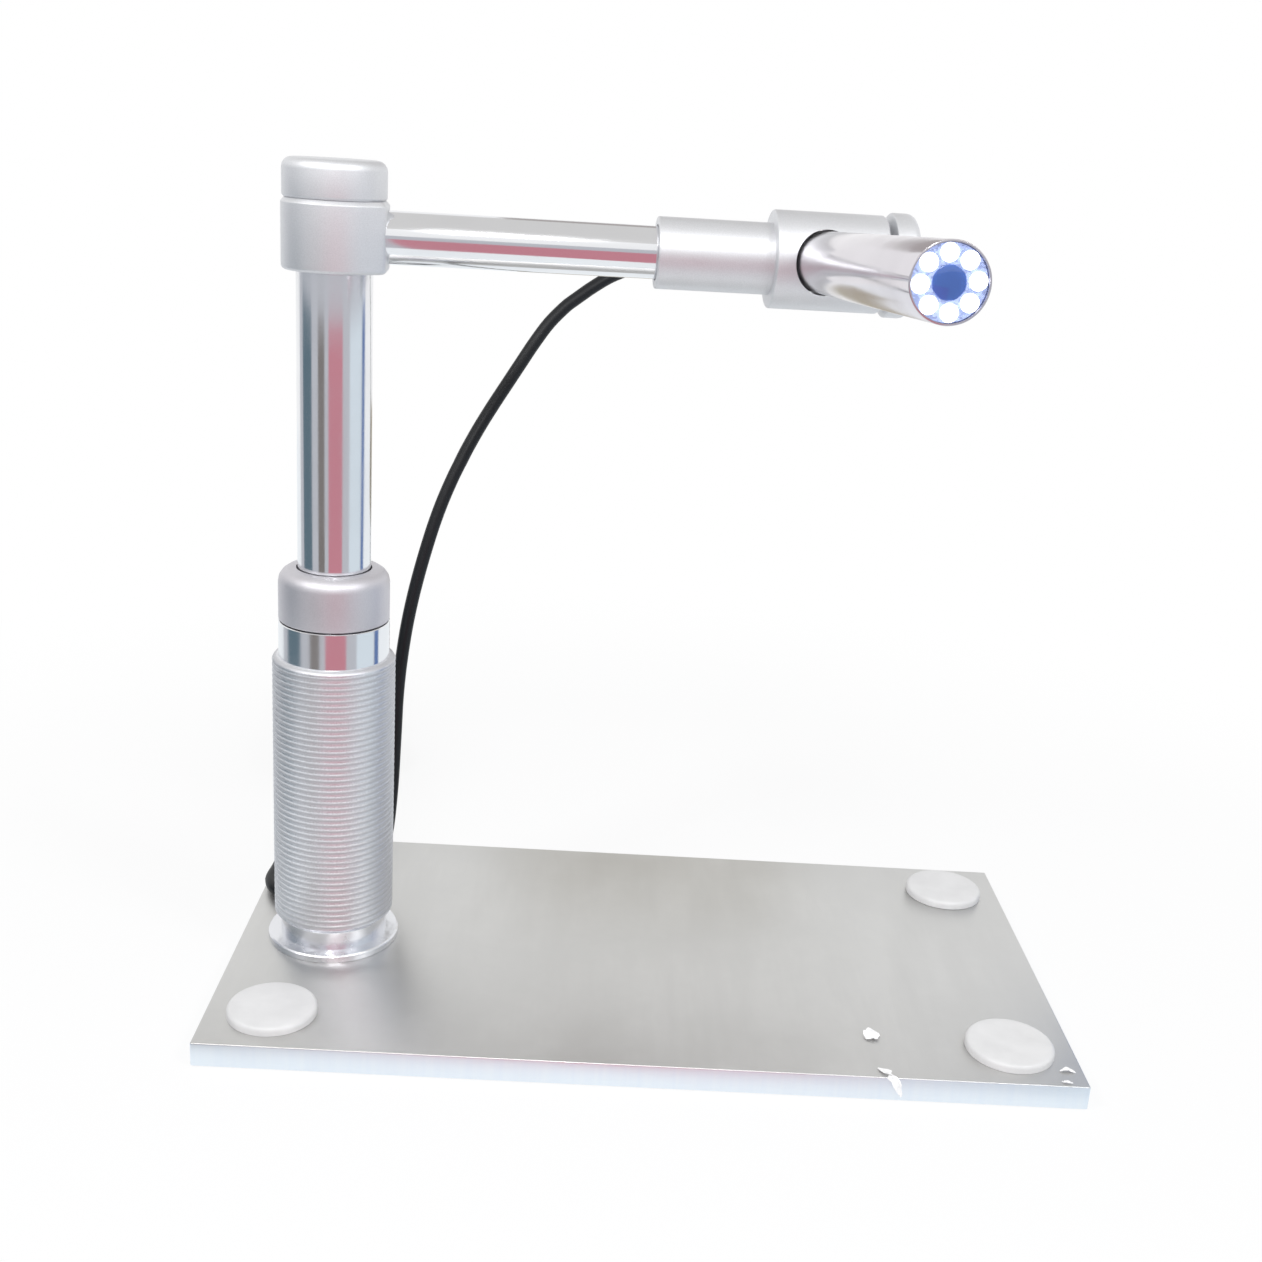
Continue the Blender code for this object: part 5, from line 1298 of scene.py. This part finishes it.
def build_cards():
    """A plain grey wall in front, and single-coloured cards that the bright parts mirror."""
    round_card(*GREY_WALL, WALL)
    for card in ROUND_CARDS:
        round_card(*card, CARDS)
    overhead = level_corners((OVERHEAD_SIDE, OVERHEAD_FRONT), (-OVERHEAD_SIDE, OVERHEAD_REAR), OVERHEAD)
    place_card("overhead_card", (0.72, 0.71, 0.70), overhead)
    upright_card("taupe_card", (0.46, 0.43, 0.42), left=-60.0, right=100.0, base=262.0, top=400.0)
    upright_card("olive_card", (0.46, 0.42, 0.34), left=-50.0, right=70.0, base=40.0, top=88.0)
    under = level_corners((-UNDER_SIDE, -UNDER_SIDE), (UNDER_SIDE, UNDER_SIDE), UNDER)
    place_card("under_card", (0.95, 0.98, 1.0), under)


def floor_material():
    """Matt and pale, white to the camera, and a little less so near the object, where its shadow lies."""
    floor = Surface("floor")
    reach = floor.node("VectorMath")
    reach.operation = "LENGTH"
    floor.link(floor.node("TexCoord").outputs["Object"], reach.inputs[0])
    low, high = SHADOW_REACH
    near = floor.node("MapRange", from_min=low * MM, from_max=high * MM, to_min=FLOOR_WHITE_SHARE)
    near.interpolation_type = "SMOOTHSTEP"
    floor.link(reach.outputs["Value"], near.inputs["Value"])
    share = floor.maths("MULTIPLY", seen_rays(floor), near.outputs["Result"])
    matt = floor.node("BsdfDiffuse", color=FLOOR_COLOUR)
    return floor.mixed(share, matt, floor.node("Emission", color=WHITE))


def build_floor():
    """A pale floor that shows white, and keeps a soft shadow near the object."""
    corners = level_corners((-FLOOR_SIDE, -FLOOR_SIDE), (FLOOR_SIDE, FLOOR_SIDE), FLOOR_DROP)
    floor = sheet("floor", floor_material(), corners)
    floor.visible_glossy = False


def seen_rays(nodes):
    """1 for rays from the camera, mirrors and glass, and 0 for the rest."""
    rays = nodes.node("LightPath").outputs
    seen = nodes.maths("MAXIMUM", rays["Is Camera Ray"], rays["Is Glossy Ray"])
    return nodes.maths("MAXIMUM", seen, rays["Is Transmission Ray"])


def build_world():
    """A white surround for what is seen, and a plain level of light for the rest."""
    world = bpy.data.worlds.new("studio")
    bpy.context.scene.world = world
    world.use_nodes = True
    nodes = Nodes(world.node_tree)
    background = nodes.tree.nodes["Background"]
    background.inputs["Color"].default_value = WHITE
    level = nodes.node("MapRange", to_min=WORLD_LEVEL)
    nodes.link(seen_rays(nodes), level.inputs["Value"])
    nodes.link(level.outputs["Result"], background.inputs["Strength"])


def build_lamp(name, place, colour):
    """A square area lamp that faces the object."""
    data = bpy.data.lights.new(name, "AREA")
    data.shape = "RECTANGLE"
    data.size = LAMP_SIDE * MM
    data.size_y = LAMP_SIDE * MM
    data.energy = LAMP_POWER
    data.color = colour
    lamp = placed(name, data)
    lamp.location = Vector(place) * MM
    aim = Vector(LAMP_AIM) * MM - lamp.location
    lamp.rotation_euler = aim.to_track_quat("-Z", "Y").to_euler()


def build_studio():
    """Floor, surround, cards and lamps."""
    build_floor()
    build_world()
    build_cards()
    for lamp in LAMPS:
        build_lamp(*lamp)


bpy.context.scene.view_settings.view_transform = "Standard"
make_camera()
dress_packed_nodes()
build_cords()
build_stand()
build_column()
build_arm()
build_microscope()
build_studio()
